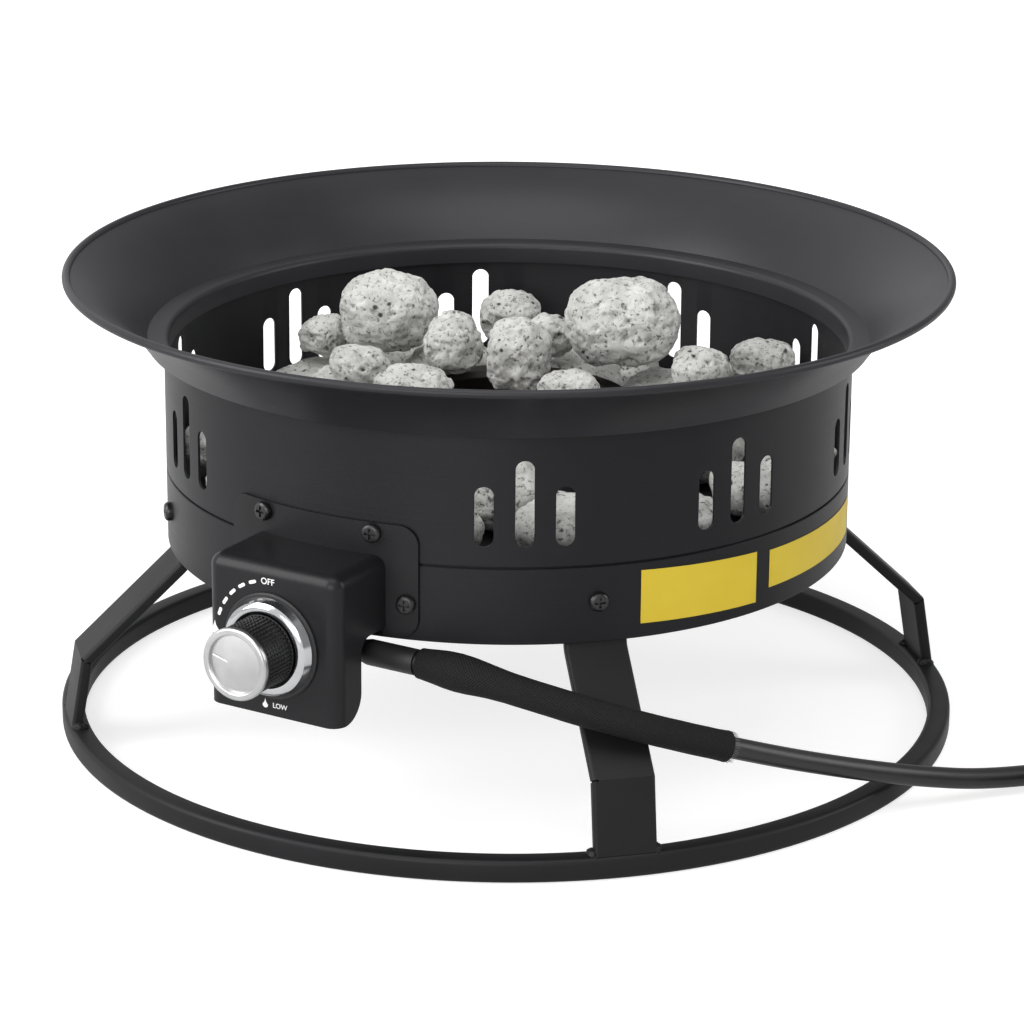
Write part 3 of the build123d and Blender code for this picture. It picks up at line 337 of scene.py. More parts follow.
for group in range(vent_groups):
    turn = Matrix.Rotation(math.pi + math.radians(vent_pitch * (group - vent_groups // 2)), 4, "Z")
    for side, height in vent_heights.items():
        vent = add_piece(bpy.ops.mesh.primitive_cylinder_add, vertices=32, radius=vent_width / 2,
                         depth=vent_punch, rotation=(math.pi / 2, 0, 0),
                         location=(side * vent_step, -drum_radius, vent_round))
        bpy.ops.object.transform_apply(location=True, rotation=True, scale=True)
        for vertex in vent.data.vertices:
            if vertex.co.z > vent_round + same_level:
                vertex.co.z += height - vent_width
        vent.data.transform(turn)
        vents.append(vent)
cut_away(upper_shell, joined(vents, "vent_punch"))
settle(upper_shell, sheet_coat, "pit", "black_steel", "upper_shell")

# Rim ring: 1.5 mm steel spun in one piece, with a collar inside the shell, a ledge on its edge,
# a trumpet flare and a rolled bead at the outer edge.
# Its coat is shinier than the drum's, so that the flare shows a broad gleam, and its colour is painted a
# shade lighter than the drum's, as painted light.
rim_coat_painted_light = coated_steel("Powder_coat_rim_painted_light", ("#1e1e21", "#2b2b2f"), peel=0.0009, streak=0.3, gloss=0.25,
                        rough_range=(0.33, 0.44))
rim_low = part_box("rim_ring")[0]
rim_sheet = 0.0015
fold_radius = 0.1906
ledge_top = shell_high.z + rim_sheet
ledge_round = 0.003
flare = 0.089
fold_angle = 57
edge_angle = 23
edge_bead = 0.0022
hang_share = 0.7
bead_hang = edge_bead * hang_share
collar = drum_radius - sheet - fit_gap
bead_start, bead_end = 155 + edge_angle, -125 + edge_angle
fold_turn = math.radians(fold_angle)
edge_turn = math.radians(90 + edge_angle)
flare_across = fold_radius + flare * math.sin(fold_turn)
flare_up = ledge_top - flare * math.cos(fold_turn)
flare_middle = flare - rim_sheet / 2
bead_across = flare_across + flare_middle * math.cos(edge_turn) + bead_hang * math.sin(edge_turn)
bead_up = flare_up + flare_middle * math.sin(edge_turn) - bead_hang * math.cos(edge_turn)
rim_outline = arc(flare_across, flare_up, flare, 90 + fold_angle, 90 + edge_angle, steps=20)
rim_outline += arc(bead_across, bead_up, edge_bead, bead_start, bead_end, steps=16)
rim_outline += arc(flare_across, flare_up, flare - rim_sheet, 90 + edge_angle, 90 + fold_angle, steps=20)
rim_outline += [(collar, shell_high.z), (collar, rim_low.z), (collar - rim_sheet, rim_low.z)]
rim_outline += arc(collar - rim_sheet + ledge_round, ledge_top - ledge_round, ledge_round, 180, 90,
                   steps=6)
rim_ring = spun("rim_ring_flare", upright(rim_outline), steps=256, smooth=30)
settle(rim_ring, rim_coat_painted_light, "pit", "black_steel", "rim_ring")

# Control box: pressed steel hood welded to a flange rolled to the drum, open below.
# Four cross-recess screws hold it. Its coat is smoother than the bowl's, with clearer gleams at its bends.
box_coat = coated_steel("Powder_coat_hood", ("#18181a", "#242426"), peel=0.0008, streak=0.0, gloss=0.2,
                        rough_range=(0.3, 0.38))
dress("control_box", "control_box_hood", box_coat, "pit", "black_steel", angle=30)
dress("control_box_screws", "control_box_screw_heads", black_oxide, "pit", "black_screw")

# Face print: white screen-printed marks round the knob, with dashes from OFF to high and LOW below.
# The ink is a fraction of a millimetre thick.
# It is a flat, chalky white; its speckle is drawn coarser than the ink's real one, so that it shows.
# The same white also draws the painted highlight in the knob's pointer groove.
print_and_highlight_white, print_tree, print_shader = new_material("Screen_print_and_painted_highlight_white", Roughness=0.55)
print_speckle = 0.0006
print_place = add_node(print_tree, "ShaderNodeTexCoord").outputs["Object"]
print_grain = add_node(print_tree, "ShaderNodeTexNoise", inputs={
    "Vector": print_place, "Scale": grit(print_speckle)})
print_tint = add_node(print_tree, "ShaderNodeValToRGB", inputs={"Fac": print_grain.outputs["Fac"]})
print_tint.color_ramp.elements[0].color = linear("#e2e2e0")
print_tint.color_ramp.elements[1].color = linear("#fafaf8")
print_tree.links.new(print_tint.outputs["Color"], print_shader.inputs["Base Color"])
hood_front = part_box("control_box")[0].y
cap_low, cap_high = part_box("knob_cap")
knob_middle = (cap_low + cap_high) / 2
ink = 0.0001
stroke_gain = 0.00006


def stamp(piece, across, up, name):
    """Stand a flat mark up on the hood's face, at its place from the knob's axis."""
    pick(piece)
    bpy.ops.object.convert(target="MESH")
    piece.data.transform(Matrix.Rotation(math.pi / 2, 4, "X"))
    piece.data.transform(Matrix.Translation((knob_middle.x + across, hood_front - ink, knob_middle.z + up)))
    piece.name = name
    settle(piece, print_and_highlight_white, "pit", None)


def word(text, size, across, up):
    """A printed word, centred on its place."""
    letters = add_piece(bpy.ops.object.text_add, location=(0, 0, 0))
    letters.data.body = text
    letters.data.size = size
    letters.data.align_x = "CENTER"
    letters.data.align_y = "CENTER"
    letters.data.extrude = ink / 2
    letters.data.offset = stroke_gain
    stamp(letters, across, up, f"print_{text}")


def flame_mark(size, across, up, name):
    """A small flame: a disc drawn out to a point at the top."""
    waist_share, waist_power = 0.92, 1.3
    tip_share, tip_power = 1.1, 3
    mark = add_piece(bpy.ops.mesh.primitive_circle_add, vertices=40, radius=size, fill_type="NGON")
    for vertex in mark.data.vertices:
        lift = max(0.0, vertex.co.y / size)
        vertex.co.x *= 1 - waist_share * lift ** waist_power
        vertex.co.y += size * tip_share * lift ** tip_power
    stamp(mark, across, up, name)


word("OFF", size=0.0046, across=-0.0018, up=0.0329)
word("LOW", size=0.0037, across=0.0046, up=-0.0314)
dash_radius = 0.0331
dash_length = 0.0046
dash_half = 0.0009
dash_angles = (109.2, 121.7, 134, 146.2, 158.4)
for index, angle in enumerate(dash_angles):
    turn = math.radians(angle)
    dash = add_piece(bpy.ops.mesh.primitive_circle_add, vertices=24, radius=dash_half, fill_type="NGON")
    for vertex in dash.data.vertices:
        vertex.co.x += math.copysign(dash_length / 2 - dash_half, vertex.co.x)
    dash.data.transform(Matrix.Rotation(turn + math.pi / 2, 4, "Z"))
    stamp(dash, dash_radius * math.cos(turn), dash_radius * math.sin(turn), f"print_dash_{index}")
flame_mark(size=0.0023, across=-0.034, up=0.0022, name="print_flame")
flame_mark(size=0.0016, across=-0.0042, up=-0.0318, name="print_small_flame")


# Gas valve: cast and turned brass body behind the hood's face, with its plug, steel stem and nut.
# Its neck goes through the face. It is raw machined metal, only seen from below and behind.
def raw_metal(name, colours, roughness, lines, metallic=1.0):
    """Bare machined or cast metal: fine tool marks and uneven tarnish."""
    tarnish_size = 0.02
    polish, dulling = 0.08, 0.1
    mark_depth = 0.0001
    material, tree, shader = new_material(name, Metallic=metallic)
    place = add_node(tree, "ShaderNodeTexCoord").outputs["Object"]
    tarnish = add_node(tree, "ShaderNodeTexNoise", inputs={
        "Vector": place, "Scale": grit(tarnish_size), "Detail": 5.0})
    marks = add_node(tree, "ShaderNodeTexNoise", inputs={
        "Vector": place, "Scale": grit(lines), "Detail": 3.0})
    tint = add_node(tree, "ShaderNodeValToRGB", inputs={"Fac": tarnish.outputs["Fac"]})
    tint.color_ramp.elements[0].position = 0.3
    tint.color_ramp.elements[0].color = linear(colours[0])
    tint.color_ramp.elements[1].position = 0.7
    tint.color_ramp.elements[1].color = linear(colours[1])
    rough = add_node(tree, "ShaderNodeMapRange", inputs={
        "Value": tarnish.outputs["Fac"], "To Min": roughness - polish, "To Max": roughness + dulling})
    bump = add_node(tree, "ShaderNodeBump", inputs={
        "Height": marks.outputs["Fac"], "Strength": 0.2, "Distance": mark_depth})
    tree.links.new(tint.outputs["Color"], shader.inputs["Base Color"])
    tree.links.new(rough.outputs["Result"], shader.inputs["Roughness"])
    tree.links.new(bump.outputs["Normal"], shader.inputs["Normal"])
    return material


# Brass is a warm yellow with brown tarnish, steel a cool grey; both have soft metal highlights.
brass = raw_metal("Machined_brass", ("#8f6f33", "#b8954f"), roughness=0.34, lines=0.0006)
steel = raw_metal("Machined_steel", ("#8d8d8c", "#b4b4b2"), roughness=0.3, lines=0.0005)
dress("gas_valve", "gas_valve_body", brass, "pit", "brass")
dress("valve_nut", "valve_nut_hex", brass, "pit", "brass")
dress("valve_plug", "valve_plug_cock", brass, "plug", "brass")
dress("valve_stem", "valve_stem_shaft", steel, "knob", "valve_steel")


# Bezel: bright chromed ring pressed from brass sheet, on a flat moulded black ring.
# Both sit flat on the hood's face round the knob.
def moulded(name, colours, roughness, grain):
    """Moulded plastic or rubber: fine spark-eroded grain and slightly uneven sheen."""
    cloud_size = 0.015
    sheen_swing = 0.06
    grain_depth = 0.0001
    material, tree, shader = new_material(name, IOR=1.49)
    place = add_node(tree, "ShaderNodeTexCoord").outputs["Object"]
    cloud = add_node(tree, "ShaderNodeTexNoise", inputs={
        "Vector": place, "Scale": grit(cloud_size), "Detail": 3.0})
    fine = add_node(tree, "ShaderNodeTexNoise", inputs={
        "Vector": place, "Scale": grit(grain), "Detail": 2.0})
    tint = add_node(tree, "ShaderNodeValToRGB", inputs={"Fac": cloud.outputs["Fac"]})
    tint.color_ramp.elements[0].color = linear(colours[0])
    tint.color_ramp.elements[1].color = linear(colours[1])
    rough = add_node(tree, "ShaderNodeMapRange", inputs={
        "Value": cloud.outputs["Fac"],
        "To Min": roughness - sheen_swing, "To Max": roughness + sheen_swing})
    bump = add_node(tree, "ShaderNodeBump", inputs={
        "Height": fine.outputs["Fac"], "Strength": 0.2, "Distance": grain_depth})
    tree.links.new(tint.outputs["Color"], shader.inputs["Base Color"])
    tree.links.new(rough.outputs["Result"], shader.inputs["Roughness"])
    tree.links.new(bump.outputs["Normal"], shader.inputs["Normal"])
    return material


# Nylon is a half-matt black. Chrome is near a mirror, so it shows the white surround and the dark hood.
black_plastic = moulded("Moulded_nylon_black", ("#121213", "#1d1d1e"), roughness=0.46, grain=0.0005)
chrome = raw_metal("Bright_chrome", ("#b0b1b3", "#cbccce"), roughness=0.12, lines=0.004)
knob_axis_point = (knob_middle.x, 0, knob_middle.z)


def knob_spun(name, pairs, steps, smooth=40):
    """A piece turned about the knob's axis, from (distance, radius) pairs."""
    outline = [(knob_middle.x, -distance, knob_middle.z + radius) for distance, radius in pairs]
    return spun(name, outline, steps, centre=knob_axis_point, axis=(0, 1, 0), smooth=smooth)


base_low, base_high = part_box("bezel_base")
base_rear, base_front = -base_high.y, -base_low.y
base_radius = (base_high.x - base_low.x) / 2
base_bore = 0.0225
base_corner = 0.0008
base_pairs = [
    (base_rear, base_bore), (base_front, base_bore), (base_front, base_radius - base_corner),
    (base_front - base_corner, base_radius), (base_rear, base_radius),
]
bezel_base = knob_spun("bezel_base_ring", base_pairs, steps=128)
settle(bezel_base, black_plastic, "pit", "black_plastic", "bezel_base")

bezel_low, bezel_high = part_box("knob_bezel")
bezel_rear, bezel_front = -bezel_high.y, -bezel_low.y
bezel_radius = (bezel_high.x - bezel_low.x) / 2
bezel_bore = 0.0194
bezel_lip = 0.0007
bezel_shoulder = 0.024
bezel_fall = 0.0016
bezel_foot = 0.0005
bezel_edge = 0.0002
crown_power = 2.2
crown_steps = 12
crown_start = bezel_bore + bezel_lip
bezel_pairs = [(bezel_rear, bezel_bore)]
bezel_pairs += arc(bezel_front - bezel_lip, crown_start, bezel_lip, 270, 360, steps=10)
for step in range(1, crown_steps + 1):
    share = step / crown_steps
    bezel_pairs.append((bezel_front - bezel_fall * share ** crown_power,
                        crown_start + (bezel_shoulder - crown_start) * share))
bezel_pairs += [(bezel_rear + bezel_foot, bezel_radius), (bezel_rear, bezel_radius - bezel_edge)]
knob_bezel = knob_spun("knob_bezel_ring", bezel_pairs, steps=144, smooth=14)
settle(knob_bezel, chrome, "pit", "chrome", "knob_bezel")

# Knob grip: moulded black nylon drum with rows of small raised studs between two smooth lips.
# It is pushed on to the flat of the valve's stem.
grip_low, grip_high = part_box("knob_grip")
grip_rear, grip_front = -grip_high.y, -grip_low.y
lip_radius = (grip_high.x - grip_low.x) / 2
lip_height = 0.0009
lip_width = 0.0018
lip_corner = 0.0006
lip_slope = 0.0003
grip_radius = lip_radius - lip_height
recess_radius = 0.0132
recess_depth = 0.0054
recess_root = grip_rear + recess_depth
stem_radius = 0.0036
stud_rows = 8
stud_columns = 50
stud_steps = 3
stud_wide_steps = 2
stud_height = 0.00075
stud_flank = 0.0002
stud_share = 0.72
wall_reach = 0.0003
body_rear, body_front = grip_rear + lip_width, grip_front - lip_width
row_pitch = (body_front - body_rear) / stud_rows
row_edges = [body_rear + row_pitch * (row + start) for row in range(stud_rows) for start in (0, stud_share)]
grip_pairs = [
    (grip_rear, recess_radius), (grip_rear, lip_radius - lip_corner), (grip_rear + lip_corner, lip_radius),
    (body_rear - lip_slope, lip_radius), (body_rear, grip_radius),
]
grip_pairs += [(distance, grip_radius) for distance in row_edges[1:]]
grip_pairs += [
    (body_front, grip_radius), (body_front + lip_slope, lip_radius), (grip_front, lip_radius),
    (grip_front, stem_radius), (recess_root, stem_radius), (recess_root, recess_radius),
]
knob_grip = knob_spun("knob_grip_drum", grip_pairs, stud_columns * stud_steps, smooth=30)
pick(knob_grip)
for face in knob_grip.data.polygons:
    out = Vector((face.center.x - knob_middle.x, face.center.z - knob_middle.z))
    row = (-face.center.y - body_rear) / row_pitch
    column = (math.atan2(out.x, out.y) % math.tau) / math.tau * stud_columns * stud_steps
    on_wall = 0 < row < stud_rows and abs(out.length - grip_radius) < wall_reach
    face.select = on_wall and row % 1 < stud_share and int(column) % stud_steps < stud_wide_steps
bpy.context.tool_settings.mesh_select_mode = (False, False, True)
bpy.ops.object.mode_set(mode="EDIT")
bpy.ops.mesh.inset(thickness=stud_flank, depth=stud_height)
bpy.ops.object.mode_set(mode="OBJECT")
bpy.context.tool_settings.mesh_select_mode = (True, False, False)
bpy.ops.object.shade_smooth_by_angle(angle=math.radians(30))
settle(knob_grip, black_plastic, "knob", "black_plastic", "knob_grip")

# Knob cap: turned aluminium face with a raised rim, a domed dish and a pointer groove.
# It is pressed on to the grip. Fine turning gives the metal a satin grey with one broad highlight.
satin = raw_metal("Satin_aluminium", ("#b2b2b2", "#cacaca"), roughness=0.3, lines=0.0006)
cap_rear, cap_front = -cap_high.y, -cap_low.y
cap_radius = (cap_high.x - cap_low.x) / 2
cap_corner = 0.0004
rim_round = 0.0013
rim_slope = 0.0003
rim_inner, rim_foot = 0.0006, 0.0001
pole = 0.0001
dish_radius = 0.0151
dish_depth = 0.0017
dish = cap_front - dish_depth
dome = 0.0016
dome_steps = 12
cap_pairs = [(cap_rear, pole), (cap_rear, cap_radius - cap_corner), (cap_rear + cap_corner, cap_radius)]
cap_pairs += arc(cap_front - rim_round, cap_radius - rim_round, rim_round, 90, 0, steps=6)
cap_pairs += [
    (cap_front, dish_radius + rim_inner), (cap_front - rim_slope, dish_radius + rim_foot),
    (dish, dish_radius),
]
for step in range(1, dome_steps + 1):
    share = 1 - step / dome_steps
    cap_pairs.append((dish + dome * (1 - share ** 2), max(dish_radius * share, pole)))
knob_cap = knob_spun("knob_cap_face", cap_pairs, steps=144, smooth=30)
pointer_angle = 165
pointer_reach = 0.0085
pointer_level = dish + dome * (1 - (pointer_reach / dish_radius) ** 2)
pointer_place = (Matrix.Translation((knob_middle.x, -pointer_level, knob_middle.z))
                 @ Matrix.Rotation(-math.radians(pointer_angle), 4, "Y")
                 @ Matrix.Translation((pointer_reach, 0, 0)))


def pointer_bar(length, depth, width, lower, name):
    """A bar with rounded ends, lying along the pointer's line on the cap or a little lower."""
    bar = add_piece(bpy.ops.mesh.primitive_cylinder_add, vertices=24, radius=width / 2, depth=depth,
                    rotation=(math.pi / 2, 0, 0))
    bpy.ops.object.transform_apply(location=True, rotation=True, scale=True)
    for vertex in bar.data.vertices:
        vertex.co.x += math.copysign((length - width) / 2, vertex.co.x)
    bar.data.transform(pointer_place @ Matrix.Translation((0, 0, lower)))
    bar.name = name
    return bar


cut_away(knob_cap, pointer_bar(length=0.0095, depth=0.0012, width=0.0012, lower=0, name="pointer_groove"))
settle(knob_cap, satin, "knob", "satin_metal", "knob_cap")
# The white bar in the groove is a painted highlight, for the light that the groove's lower wall catches.
pointer = pointer_bar(length=0.0092, depth=0.0006, width=0.0008, lower=0.00018, name="knob_pointer_painted_highlight")
settle(pointer, print_and_highlight_white, "knob", None)

# Gas feed: brass jet and inlet at the valve, steel mixer tube with its air shutter under the floor,
# and the pressed steel burner on three posts above it. Bowl and stones hide them from most sides.
# The steel is painted a dull dark brown grey as painted shade, so that it reads as the shade between the
# stones.
burner_steel = raw_metal("Burner_steel_painted_shade", ("#2b2928", "#45413d"), roughness=0.55, lines=0.0009)
dress("gas_jet", "gas_jet_nozzle", brass, "pit", "brass")
dress("mixer_tube", "mixer_tube_pipe", burner_steel, "pit", "burner_steel")
dress("air_shutter", "air_shutter_sleeve", burner_steel, "pit", "burner_steel")
dress("burner_ring", "burner_ring_hoop", burner_steel, "pit", "burner_steel")
dress("burner_posts", "burner_post_set", burner_steel, "pit", "burner_steel")
dress("inlet_fitting", "inlet_fitting_hex", brass, "pit", "brass")

# Stones: loose lumps of porous grey lava, tumbled so that corners are blunt and pores are open.
# They lie heaped on the floor and on the burner, held by nothing.
# The stone is a dry, dull pale grey, clouded; its open pores of two sizes are painted dark, as painted
# shade inside the holes.
lava, lava_tree, lava_shader = new_material("Tumbled_lava_stone", Roughness=0.92)
cloud_size = 0.012
speck_size = 0.0026
pore_size = 0.0062
pore_depth = 0.0018
cloud_share = 0.8
lava_place = add_node(lava_tree, "ShaderNodeTexCoord").outputs["Object"]
lava_cloud = add_node(lava_tree, "ShaderNodeTexNoise", inputs={
    "Vector": lava_place, "Scale": grit(cloud_size), "Detail": 5.0})
lava_speck = add_node(lava_tree, "ShaderNodeTexNoise", inputs={
    "Vector": lava_place, "Scale": grit(speck_size), "Detail": 6.0, "Roughness": 0.7})
lava_pore = add_node(lava_tree, "ShaderNodeTexVoronoi", inputs={
    "Vector": lava_place, "Scale": grit(pore_size)})
lava_open = add_node(lava_tree, "ShaderNodeMath", {"operation": "MULTIPLY_ADD"}, {
    0: lava_cloud.outputs["Fac"], 1: cloud_share, 2: lava_pore.outputs["Distance"]})
lava_tint = add_node(lava_tree, "ShaderNodeValToRGB", inputs={"Fac": lava_cloud.outputs["Fac"]})
lava_tint.color_ramp.elements[0].position = 0.3
lava_tint.color_ramp.elements[0].color = linear("#bcbcb8")
lava_tint.color_ramp.elements[1].position = 0.7
lava_tint.color_ramp.elements[1].color = linear("#e0e0dc")
# Painted shade: small specks and larger pores are darkened for the shade inside the holes; the pore mask
# also feeds the bump.
speck_painted_shade = add_node(lava_tree, "ShaderNodeMapRange", inputs={
    "Value": lava_speck.outputs["Fac"], "From Min": 0.36, "From Max": 0.46, "To Min": 0.2, "To Max": 1.0})
pore_painted_shade_and_depth = add_node(lava_tree, "ShaderNodeMapRange", inputs={
    "Value": lava_open.outputs["Value"], "From Min": 0.4, "From Max": 0.54, "To Min": 0.1, "To Max": 1.0})
pores_painted_shade = add_node(lava_tree, "ShaderNodeMath", {"operation": "MULTIPLY"}, {
    0: speck_painted_shade.outputs["Result"], 1: pore_painted_shade_and_depth.outputs["Result"]})
lava_shade = add_node(lava_tree, "ShaderNodeVectorMath", {"operation": "SCALE"}, {
    0: lava_tint.outputs["Color"], "Scale": pores_painted_shade.outputs["Value"]})
lava_tree.links.new(lava_shade.outputs["Vector"], lava_shader.inputs["Base Color"])
pore_height = add_node(lava_tree, "ShaderNodeMath", {"operation": "ADD"}, {
    0: lava_speck.outputs["Fac"], 1: pore_painted_shade_and_depth.outputs["Result"]})
lava_bump = add_node(lava_tree, "ShaderNodeBump", inputs={
    "Height": pore_height.outputs["Value"], "Strength": 0.9, "Distance": pore_depth})
lava_tree.links.new(lava_bump.outputs["Normal"], lava_shader.inputs["Normal"])


def reach_of(piece):
    """Lowest and highest corner of a piece's mesh."""
    along_axes = list(zip(*(vertex.co for vertex in piece.data.vertices)))
    return [Vector([extreme(parts) for parts in along_axes]) for extreme in (min, max)]


# A stone that shows on top gets a finer mesh and deeper wear; one below is turned and spread a little.
seen_height = 0.18
seen_grain, low_grain = 0.0011, 0.0018
seen_wear, low_wear = 0.0029, 0.0006
tumble_share = 0.3
egg_share = 0.45
golden_turn = 2.4
low_spread = 1.1
stone_seed = (0.37, 0.61, 0.23)
swells = ((0.021, 0.0027), (0.008, 0.0011), (0.0036, 0.0008))
pits = ((0.014, 0.005, 0.42), (0.0062, 0.003, 0.4))
pit_seed = 3.7
heap = smooth_copy("lava_rocks", "lava_rock")
bpy.ops.object.mode_set(mode="EDIT")
bpy.ops.mesh.select_all(action="SELECT")
bpy.ops.mesh.separate(type="LOOSE")
bpy.ops.object.mode_set(mode="OBJECT")
lumps = [heap] + [piece for piece in bpy.context.selected_objects if piece != heap]
lumps.sort(key=lambda piece: tuple(round(part, 4) for part in reach_of(piece)[0]))
for index, lump in enumerate(lumps):
    lump.name = f"lava_rock_{index + 1:02d}"
    low, high = reach_of(lump)
    seen = high.z > seen_height
    stone_grain = seen_grain if seen else low_grain
    shape_by(lump, "REMESH", mode="VOXEL", voxel_size=stone_grain)
    shape_by(lump, "SMOOTH", factor=0.5,
             iterations=round((tumble_share * min(high - low) / stone_grain) ** 2))
    worn_low, worn_high = reach_of(lump)
    grow = Vector([(b - a) / (d - c) for a, b, c, d in zip(low, high, worn_low, worn_high)])
    middle, half = (low + high) / 2, (high - low) / 2
    swing = Matrix.Identity(3)
    if not seen:
        swing = Matrix.Rotation(index * golden_turn, 3, "Z") @ Matrix.Diagonal((low_spread, low_spread, 1))
    for vertex in lump.data.vertices:
        worn = low + (vertex.co - worn_low) * grow - middle
        share = Vector([part / size for part, size in zip(worn, half)])
        share = share.lerp(share.normalized(), egg_share)
        vertex.co = middle + swing @ (share * half)
    lump.data.update()
    moves = []
    shift = Vector([index * part for part in stone_seed])
    for vertex in lump.data.vertices:
        place = vertex.co
        depth = seen_wear if seen else low_wear
        for swell_pitch, swell_height in swells:
            depth -= swell_height * noise.noise(place / swell_pitch + shift)
        for pit_pitch, pit_depth, pit_share in pits:
            near, points = noise.voronoi(place / pit_pitch + shift)
            if noise.noise(points[0] * pit_seed) > 0:
                depth += pit_depth * max(0.0, pit_share - near[0]) / pit_share
        moved = place - vertex.normal * depth
        moved.z = max(moved.z, low.z)
        moves.append(moved)
    for vertex, place in zip(lump.data.vertices, moves):
        vertex.co = place
    bpy.ops.object.shade_smooth()
    settle(lump, lava, "pit", "rock", "lava_rocks")

# Hose boot: moulded rubber cuff over the crimped end of the hose, pushed on to the valve's brass inlet.
# It keeps the hose from kinking there. The rubber is a dull black with a weak, wide highlight.
rubber = moulded("Moulded_rubber_black", ("#141414", "#1f1f20"), roughness=0.5, grain=0.0007)
dress("hose_boot", "hose_boot_cuff", rubber, "pit", "rubber")

# Gas hose: 11 mm black low-pressure rubber hose, 2.98 m long, run over the foot ring to the ground.
# What the picture doesn't show is wound in a flat two-layer coil and ends in the regulator.
# Extruded rubber is smoother than moulded rubber, so a thin gleam runs along the hose.
hose_rubber = moulded("Extruded_rubber_hose", ("#161616", "#232324"), roughness=0.36, grain=0.0009)
hose_radius = 0.0055
hose_points = [
    (0.062, -0.186, 0.0965), (0.088, -0.186, 0.0965), (0.131, -0.1745, 0.0866), (0.162, -0.154, 0.075),
    (0.182, -0.132, 0.0644), (0.209, -0.0875, 0.0451), (0.226, -0.0525, 0.0314), (0.24, -0.028, 0.0226),
    (0.255, -0.0055, 0.0156), (0.273, 0.018, 0.0099), (0.295, 0.048, 0.007), (0.325, 0.088, 0.007),
]
tail_points = [
    (0.355, 0.128, 0.0187), (0.375, 0.149, 0.0208), (0.397, 0.165, 0.023), (0.421, 0.178, 0.023),
]
coil_ahead = Vector((0.6, 0.8, 0))
coil_inward = Vector((0.8, -0.6, 0))
coil_pitch = 0.0117
coil_outer = 0.082
coil_halves = 12
coil_steps = 12
place = Vector(hose_points[-1]) + coil_ahead * hose_radius * 2
hose_points.append(tuple(place))
for half in range(coil_halves):
    side = 1 if half % 2 == 0 else -1
    radius = coil_outer - coil_pitch / 2 * min(half, coil_halves - half)
    lift = Vector((0, 0, coil_pitch if half == coil_halves // 2 else 0))
    centre = place + coil_inward * side * radius
    for step in range(1, coil_steps + 1):
        turn = math.pi * step / coil_steps
        swing = coil_ahead * math.sin(turn) - coil_inward * math.cos(turn)
        hose_points.append(tuple(centre + swing * side * radius + lift * step / coil_steps))
    place = Vector(hose_points[-1])
hose_points.append(tuple(place + coil_ahead * hose_radius * 2))
hose_points += tail_points
hose_line = bpy.data.curves.new("gas_hose_line", "CURVE")
hose_line.dimensions = "3D"
hose_spline = hose_line.splines.new("NURBS")
hose_spline.points.add(len(hose_points) - 1)
for knot, point in zip(hose_spline.points, hose_points):
    knot.co = (*point, 1)
hose_spline.order_u = 3
hose_spline.use_endpoint_u = True
hose_spline.resolution_u = 24
hose_line.bevel_resolution = 6
hose_line.use_fill_caps = True
gas_hose = bpy.data.objects.new("gas_hose_tube", hose_line)
bpy.context.scene.collection.objects.link(gas_hose)
bare_line = bpy.data.meshes.new_from_object(gas_hose)
hose_track = [vertex.co.copy() for vertex in bare_line.vertices]
bpy.data.meshes.remove(bare_line)
hose_spline.resolution_u = 6
hose_line.bevel_depth = hose_radius
settle(gas_hose, hose_rubber, "pit", "rubber", "gas_hose", "hose_coil", "hose_tail")

# Braided sleeve: woven black polyester pushed over the hose against heat and chafing.
# It swells where it starts at the boot, lies close on the hose and is frayed where it was cut.
sleeve_length = 0.1688
sleeve_start = 0.0003
sleeve_radius = 0.0068
sleeve_wall = 0.0009
sleeve_sides = 32
sleeve_shape = [
    (0.0, 0.0067), (0.004, 0.0069), (0.01, 0.0076), (0.017, 0.0085), (0.023, 0.0088), (0.029, 0.0085),
    (0.04, 0.0075), (0.05, 0.0069), (0.06, sleeve_radius), (0.16, sleeve_radius), (0.166, 0.007),
    (0.17, 0.0074),
]
slack_share = 0.02
slack_pitch = 0.012
slack_round = 1.5
sleeve_rows = []
travelled = 0.0
for before, point in zip([hose_track[0]] + hose_track, hose_track):
    travelled += (point - before).length
    if sleeve_start <= travelled <= sleeve_length:
        sleeve_rows.append((travelled, point))
braid_faces = []
braid_places = []
braid_wraps = []
for row, (distance, point) in enumerate(sleeve_rows):
    following = sleeve_rows[min(row + 1, len(sleeve_rows) - 1)][1]
    leading = sleeve_rows[max(row - 1, 0)][1]
    along = (following - leading).normalized()
    across = along.cross(Vector((0, 0, 1))).normalized()
    upward = across.cross(along)
    for (near, near_radius), (far, far_radius) in zip(sleeve_shape, sleeve_shape[1:]):
        if near <= distance <= far:
            radius = near_radius + (far_radius - near_radius) * (distance - near) / (far - near)
    for corner in range(sleeve_sides):
        turn = math.tau * corner / sleeve_sides
        slack = Vector((distance / slack_pitch, math.cos(turn) * slack_round, math.sin(turn) * slack_round))
        reach = radius * (1 + slack_share * noise.noise(slack))
        braid_places.append(point + (across * math.cos(turn) + upward * math.sin(turn)) * reach)
for row in range(len(sleeve_rows) - 1):
    for corner in range(sleeve_sides):
        after = (corner + 1) % sleeve_sides
        first, second = row * sleeve_sides, (row + 1) * sleeve_sides
        braid_faces.append((first + corner, first + after, second + after, second + corner))
        near, far = sleeve_rows[row][0], sleeve_rows[row + 1][0]
        braid_wraps += [(corner, near), (corner + 1, near), (corner + 1, far), (corner, far)]
braid_mesh = bpy.data.meshes.new("hose_sleeve_braid")
braid_mesh.from_pydata(braid_places, [], braid_faces)
braid_map = braid_mesh.uv_layers.new(name="braid")
for loop, (corner, distance) in zip(braid_map.data, braid_wraps):
    loop.uv = (corner / sleeve_sides, distance / (math.tau * sleeve_radius))
hose_sleeve = bpy.data.objects.new("hose_sleeve_braid", braid_mesh)
bpy.context.scene.collection.objects.link(hose_sleeve)
shape_by(hose_sleeve, "SOLIDIFY", thickness=sleeve_wall, offset=-1)
bpy.ops.object.shade_smooth_by_angle(angle=math.radians(50))
